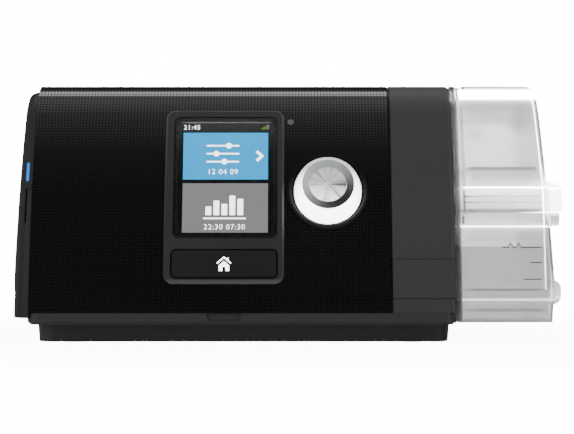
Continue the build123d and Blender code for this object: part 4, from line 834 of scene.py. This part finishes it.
def bar_picture(u, v):
    """Five rising and falling bars that stand at a height, over a base line, for a record of nights."""
    left, width, pitch, corner = u - 8.6, 2.6, 3.6, 0.3
    bars = [box_outline((left + pitch * i, left + pitch * i + width), (v, v + height), corner, 3)
            for i, height in enumerate((4.2, 7.0, 5.4, 9.4, 7.8))]
    return bars + [box_outline((u - 9.6, u + 9.6), (v - 1.9, v - 1.2))]


def signal_picture(v):
    """Four bars that rise to the right from a height, for a radio signal."""
    left, width, pitch, first, growth = -13.6, 0.65, 0.95, 0.6, 0.55
    return [box_outline((left + pitch * i, left + pitch * i + width), (v, v + first + growth * i))
            for i in range(4)]


def digits(text, size, u, v, name, align="CENTER"):
    """Plain numbers on the display, as a mesh, drawn a little thinner and wider apart than the font's."""
    curve = bpy.data.curves.new(name, "FONT")
    curve.body = text
    curve.size = size
    curve.align_x = align
    curve.offset = -0.006 * size
    curve.space_character = 1.1
    curve.resolution_u = 3
    writing = bpy.data.objects.new(name, curve)
    mesh = bpy.data.meshes.new_from_object(writing)
    bpy.data.objects.remove(writing)
    flat = np.empty(len(mesh.vertices) * 3)
    mesh.vertices.foreach_get("co", flat)
    flat = flat.reshape(-1, 3)[:, :2] + (u, v)
    faces = [list(f.vertices) for f in mesh.polygons]
    bpy.data.meshes.remove(mesh)
    piece(name, ON_DISPLAY(flat, LAYER * PICTURE_LAYER), faces, "machine", SCREEN_WHITE)


def build_screen_picture():
    """A status strip, a cyan tile with sliders and an arrow, and a grey tile with bars."""
    sliders_x, bars_x, arrow_x, text_size = -31.0, -30.0, (-15.6, -13.2), 3.6
    cyan = (panel_v(CYAN_Z[0]), panel_v(CYAN_Z[1]))
    grey = (panel_v(GREY_Z[0]), panel_v(GREY_Z[1]))
    display_piece("screen_cyan_tile", [box_outline(TILE_X, cyan)], 1, SCREEN_CYAN)
    display_piece("screen_grey_tile", [box_outline(TILE_X, grey)], 1, SCREEN_GREY)
    rails, sliders = slider_picture(sliders_x, cyan[0] + 12.6)
    display_piece("screen_slider_rails", rails, PICTURE_LAYER, SCREEN_WHITE)
    display_piece("screen_slider_knobs", sliders, PICTURE_LAYER + 1, SCREEN_WHITE)
    middle = (cyan[0] + cyan[1]) / 2
    arrow = [[arrow_x[0], middle + 2.3], [arrow_x[1], middle], [arrow_x[0], middle - 2.3]]
    display_piece("screen_arrow", [stroke(arrow, 1.2)], PICTURE_LAYER, SCREEN_WHITE)
    display_piece("screen_bars", bar_picture(bars_x, grey[0] + 9.2), PICTURE_LAYER, SCREEN_WHITE)
    digits("12 04 09", text_size, sliders_x, cyan[0] + 2.6, "screen_cyan_number")
    digits("22:30 07:30", text_size, bars_x, grey[0] + 2.4, "screen_grey_number")
    digits("21:45", 3.2, TILE_X[0], cyan[1] + 1.6, "screen_clock", "LEFT")
    signal = signal_picture(cyan[1] + 1.7)
    display_piece("screen_signal", signal[:3], PICTURE_LAYER, SCREEN_GREEN)
    display_piece("screen_signal_rest", signal[3:], PICTURE_LAYER, SCREEN_GREY)


# -------- printed marks

def house_outlines():
    """A house about its middle: a body with a doorway, and a roof stroke with its chimney."""
    body = [[-2.35, -3.0], [-0.65, -3.0], [-0.65, -1.1], [0.65, -1.1], [0.65, -3.0], [2.35, -3.0],
            [2.35, -0.5], [0.0, 1.6], [-2.35, -0.5]]
    roof = stroke([[-3.1, 0.45], [0.0, 3.2], [3.1, 0.45]], 0.65)
    chimney = [[1.4, 2.1], [2.05, 1.5], [2.05, 3.1], [1.4, 3.1]]
    return [body, roof, chimney]


def build_home_mark():
    """The white house on the home key."""
    on_key = over_plane(front_plane(HOME_X, HOME_Z), HOME_FACE)
    points, faces = plate(house_outlines(), on_key, -0.03, 0.04)
    piece("home_mark", points, faces, "home_key", WHITE_INK)


def build_start_mark():
    """The standby sign on the start key: a broken ring and a bar."""
    radius, width = 2.6, 0.55
    along = np.array([0.0, math.cos(TOP_SLOPE), -math.sin(TOP_SLOPE)])
    out = np.array([0.0, math.sin(TOP_SLOPE), math.cos(TOP_SLOPE)])
    height = CROWN_RADIUS - START_SUNK - (START_Y - CROWN_Y) * math.sin(TOP_SLOPE)
    origin = np.array([START_X, START_Y, CROWN_Z + height / math.cos(TOP_SLOPE)])
    on_key = over_plane((origin, np.array([1.0, 0.0, 0.0]), along, out))
    ring = stroke(arc_line(0.0, 0.0, radius, 125.0, 415.0), width)
    bar = stroke([[0.0, 0.6], [0.0, 3.4]], width)
    points, faces = plate([ring, bar], on_key, -0.05, 0.04)
    piece("start_mark", points, faces, "start_key", FAINT_INK)


def build_level_marks():
    """The full line with its two small waves, and two lower ticks, on the tub's front wall."""
    low, peak, right, width = 43.1, 45.0, 111.8, 0.42
    full = stroke([[94.4, low], [97.0, low], [98.0, peak], [99.2, low], [100.6, low], [101.6, peak],
                   [102.8, low], [111.6, low]], width)
    ticks = [box_outline((left, right), (z, z + width)) for left, z in ((106.7, 36.2), (103.7, 28.8))]

    def on_wall(flat, lift):
        """x and z of the front wall, a lift in front of it."""
        return np.stack([flat[:, 0], front_y(flat[:, 1]) - lift, flat[:, 1]], 1)

    points, faces = plate([full, *ticks], on_wall, 0.0, 0.05)
    piece("tub_level_marks", points, faces, "tub", MARK_INK)


# -------- water and tub trim

def build_water():
    """The water: the tub's plan inside its wall, carried from the floor to the water line."""
    heights = (TUB_FLOOR + 0.1, 20.0, 28.0, 36.0, WATER_Z - 0.8, WATER_Z - 0.25, WATER_Z)
    rings = [tub_ring(z, TUB_WALL + WATER_GAP, WATER_START_X) for z in heights]
    points, faces = tube(np.array(rings))
    piece("tub_water", points, faces, "tub", WATER)


def rim_bead(name, z):
    """A round bead, mostly sunk in the lid's rim: a circle of BEAD_RADIUS carried along the tub's plan,
    square to the plan's run."""
    path = tub_ring(z, -BEAD_PROUD, BEAD_START_X)
    run = np.gradient(path, axis=0)
    run /= np.linalg.norm(run, axis=1, keepdims=True)
    out = np.column_stack([run[:, 1], -run[:, 0], np.zeros(len(run))])
    angle = np.linspace(0.0, 2 * math.pi, 10, endpoint=False)[None, :, None]
    across = np.cos(angle) * out[:, None, :] + np.sin(angle) * np.array([0.0, 0.0, 1.0])
    points, faces = tube(path[:, None, :] + BEAD_RADIUS * across, inside_out=True)
    piece(name, points, faces, "lid", FINISHES["tub_clear"], smooth=True)


# -------- stage

BACKGROUND = 18.0            # white behind the machine
FLOOR_NEAR = 11.0            # the floor's own light beside the machine
FLOOR_SPREAD = (160.0, 420.0)        # it grows to the background's over these distances
FLOOR_BEHIND = (-20.0, 60.0)         # and lights the tub from behind past these y
FLOOR_HALF = 6000.0          # half of the floor's side
SEEN_THROUGH = 3.3           # the background as it shows through the clear tub
ROOM_PEAK = 6.0              # levels are given to the ramp as shares of this
ROOM_LEVELS = ((0, 0.08), (42, 0.08), (52, 0.18), (58, 0.45), (64, 0.85), (84, 1.1), (97, 1.05), (103, 0.6),
               (109, 0.6), (111, 3.4), (125, 3.4), (131, 0.2), (135, 0.02), (165, 0.02), (180, 0.6))


def build_stage():
    """A wide pale floor, lit a little by itself where it runs out to the white background, so that no
    horizon shows: its own light grows with the distance from the machine."""
    finish, tree, shader = new_finish("studio_floor")
    here = object_position(tree)
    paper = noise(tree, here, 300.0)
    distance = add(tree, "ShaderNodeVectorMath", {0: here}, operation="LENGTH").outputs["Value"]
    spread = over(tree, distance, FLOOR_SPREAD, FLOOR_NEAR, BACKGROUND)
    behind = over(tree, split(tree, here)["Y"], FLOOR_BEHIND, 0.0, SEEN_THROUGH * 0.6)
    path = add(tree, "ShaderNodeLightPath").outputs
    glow = product(tree, path["Is Camera Ray"], spread)
    glow = maths(tree, "MULTIPLY_ADD", path["Is Transmission Ray"], behind, glow)
    set_shader(tree, shader, Base_Color=mix_colour(tree, paper, (0.84, 0.84, 0.84), (0.87, 0.87, 0.87)),
               Emission_Color=(1.0, 1.0, 1.0, 1.0), Emission_Strength=glow, Roughness=0.9,
               Specular_IOR_Level=0.1)
    corners = [(-1, -1, 0), (1, -1, 0), (1, 1, 0), (-1, 1, 0)]
    mesh = bpy.data.meshes.new("studio_floor")
    mesh.from_pydata((np.array(corners) * FLOOR_HALF * MM).tolist(), [], [(0, 1, 2, 3)])
    mesh.materials.append(finish)
    floor = bpy.data.objects.new("studio_floor", mesh)
    bpy.context.collection.objects.link(floor)


def build_room_light():
    """The room by its angle over the machine, from the front horizon over the top to the rear one: dark
    in front, a broad dim ceiling, one bright strip just behind the zenith, and dark again.
    Straight rays see a white background, and rays through the tub a softer one."""
    world = bpy.data.worlds.new("studio_room")
    bpy.context.scene.world = world
    world.use_nodes = True
    tree = world.node_tree
    axes = split(tree, add(tree, "ShaderNodeTexCoord").outputs["Generated"])
    angle = maths(tree, "ARCTAN2", axes["Z"], product(tree, axes["Y"], -1.0))
    ramp = add(tree, "ShaderNodeValToRGB", {"Fac": maths(tree, "DIVIDE", angle, math.pi)})
    stops = ramp.color_ramp.elements
    while len(stops) < len(ROOM_LEVELS):
        stops.new(0.5)
    for stop, (degrees, level) in zip(stops, ROOM_LEVELS):
        stop.position = degrees / 180.0
        stop.color = (*(level / ROOM_PEAK,) * 3, 1.0)
    path = add(tree, "ShaderNodeLightPath").outputs
    level = product(tree, ramp.outputs["Color"], ROOM_PEAK)
    behind = remap(tree, axes["Y"], -0.15, 0.15, 0.0, 1.0)
    through = product(tree, path["Is Transmission Ray"], behind)
    for share, seen in ((through, SEEN_THROUGH), (path["Is Camera Ray"], BACKGROUND)):
        other = product(tree, level, maths(tree, "SUBTRACT", 1.0, share))
        level = maths(tree, "MULTIPLY_ADD", share, seen, other)
    background = tree.nodes["Background"]
    feed(tree, level, background.inputs["Color"])
    feed(tree, 1.0, background.inputs["Strength"])


def softbox(name, place, target, power):
    """A rectangular area light turned towards a point, in metres."""
    light = bpy.data.lights.new(name, "AREA")
    light.shape = "RECTANGLE"
    light.size, light.size_y = 0.5, 0.7
    light.energy = power
    lamp = bpy.data.objects.new(name, light)
    lamp.location = place
    lamp.rotation_mode = "QUATERNION"
    lamp.rotation_quaternion = (Vector(target) - Vector(place)).to_track_quat("-Z", "Y")
    bpy.context.collection.objects.link(lamp)


def build_camera():
    """A long lens level with the middle of the machine, square to its front. Its place is in metres."""
    camera = bpy.data.objects.new("camera", bpy.data.cameras.new("camera"))
    camera.data.sensor_width = 36.0
    camera.data.lens = 127.2
    camera.location = (-0.0018, -0.975, 0.0567)
    camera.rotation_euler = (math.pi / 2, 0.0, 0.0)
    camera.data.clip_start, camera.data.clip_end = 0.01, 50.0
    bpy.context.collection.objects.link(camera)
    bpy.context.scene.camera = camera


build_screen_picture()
build_screen_border()
build_home_mark()
build_start_mark()
build_level_marks()
build_water()
rim_bead("lid_rim_bead_high", 65.9)
rim_bead("lid_rim_bead_low", 63.2)

build_stage()
build_room_light()
softbox("left_softbox", (-0.75, -0.75, 0.45), (0.0, 0.0, 0.05), 7.0)
softbox("right_softbox", (0.8, -0.65, 0.45), (0.05, 0.0, 0.05), 8.0)
build_camera()
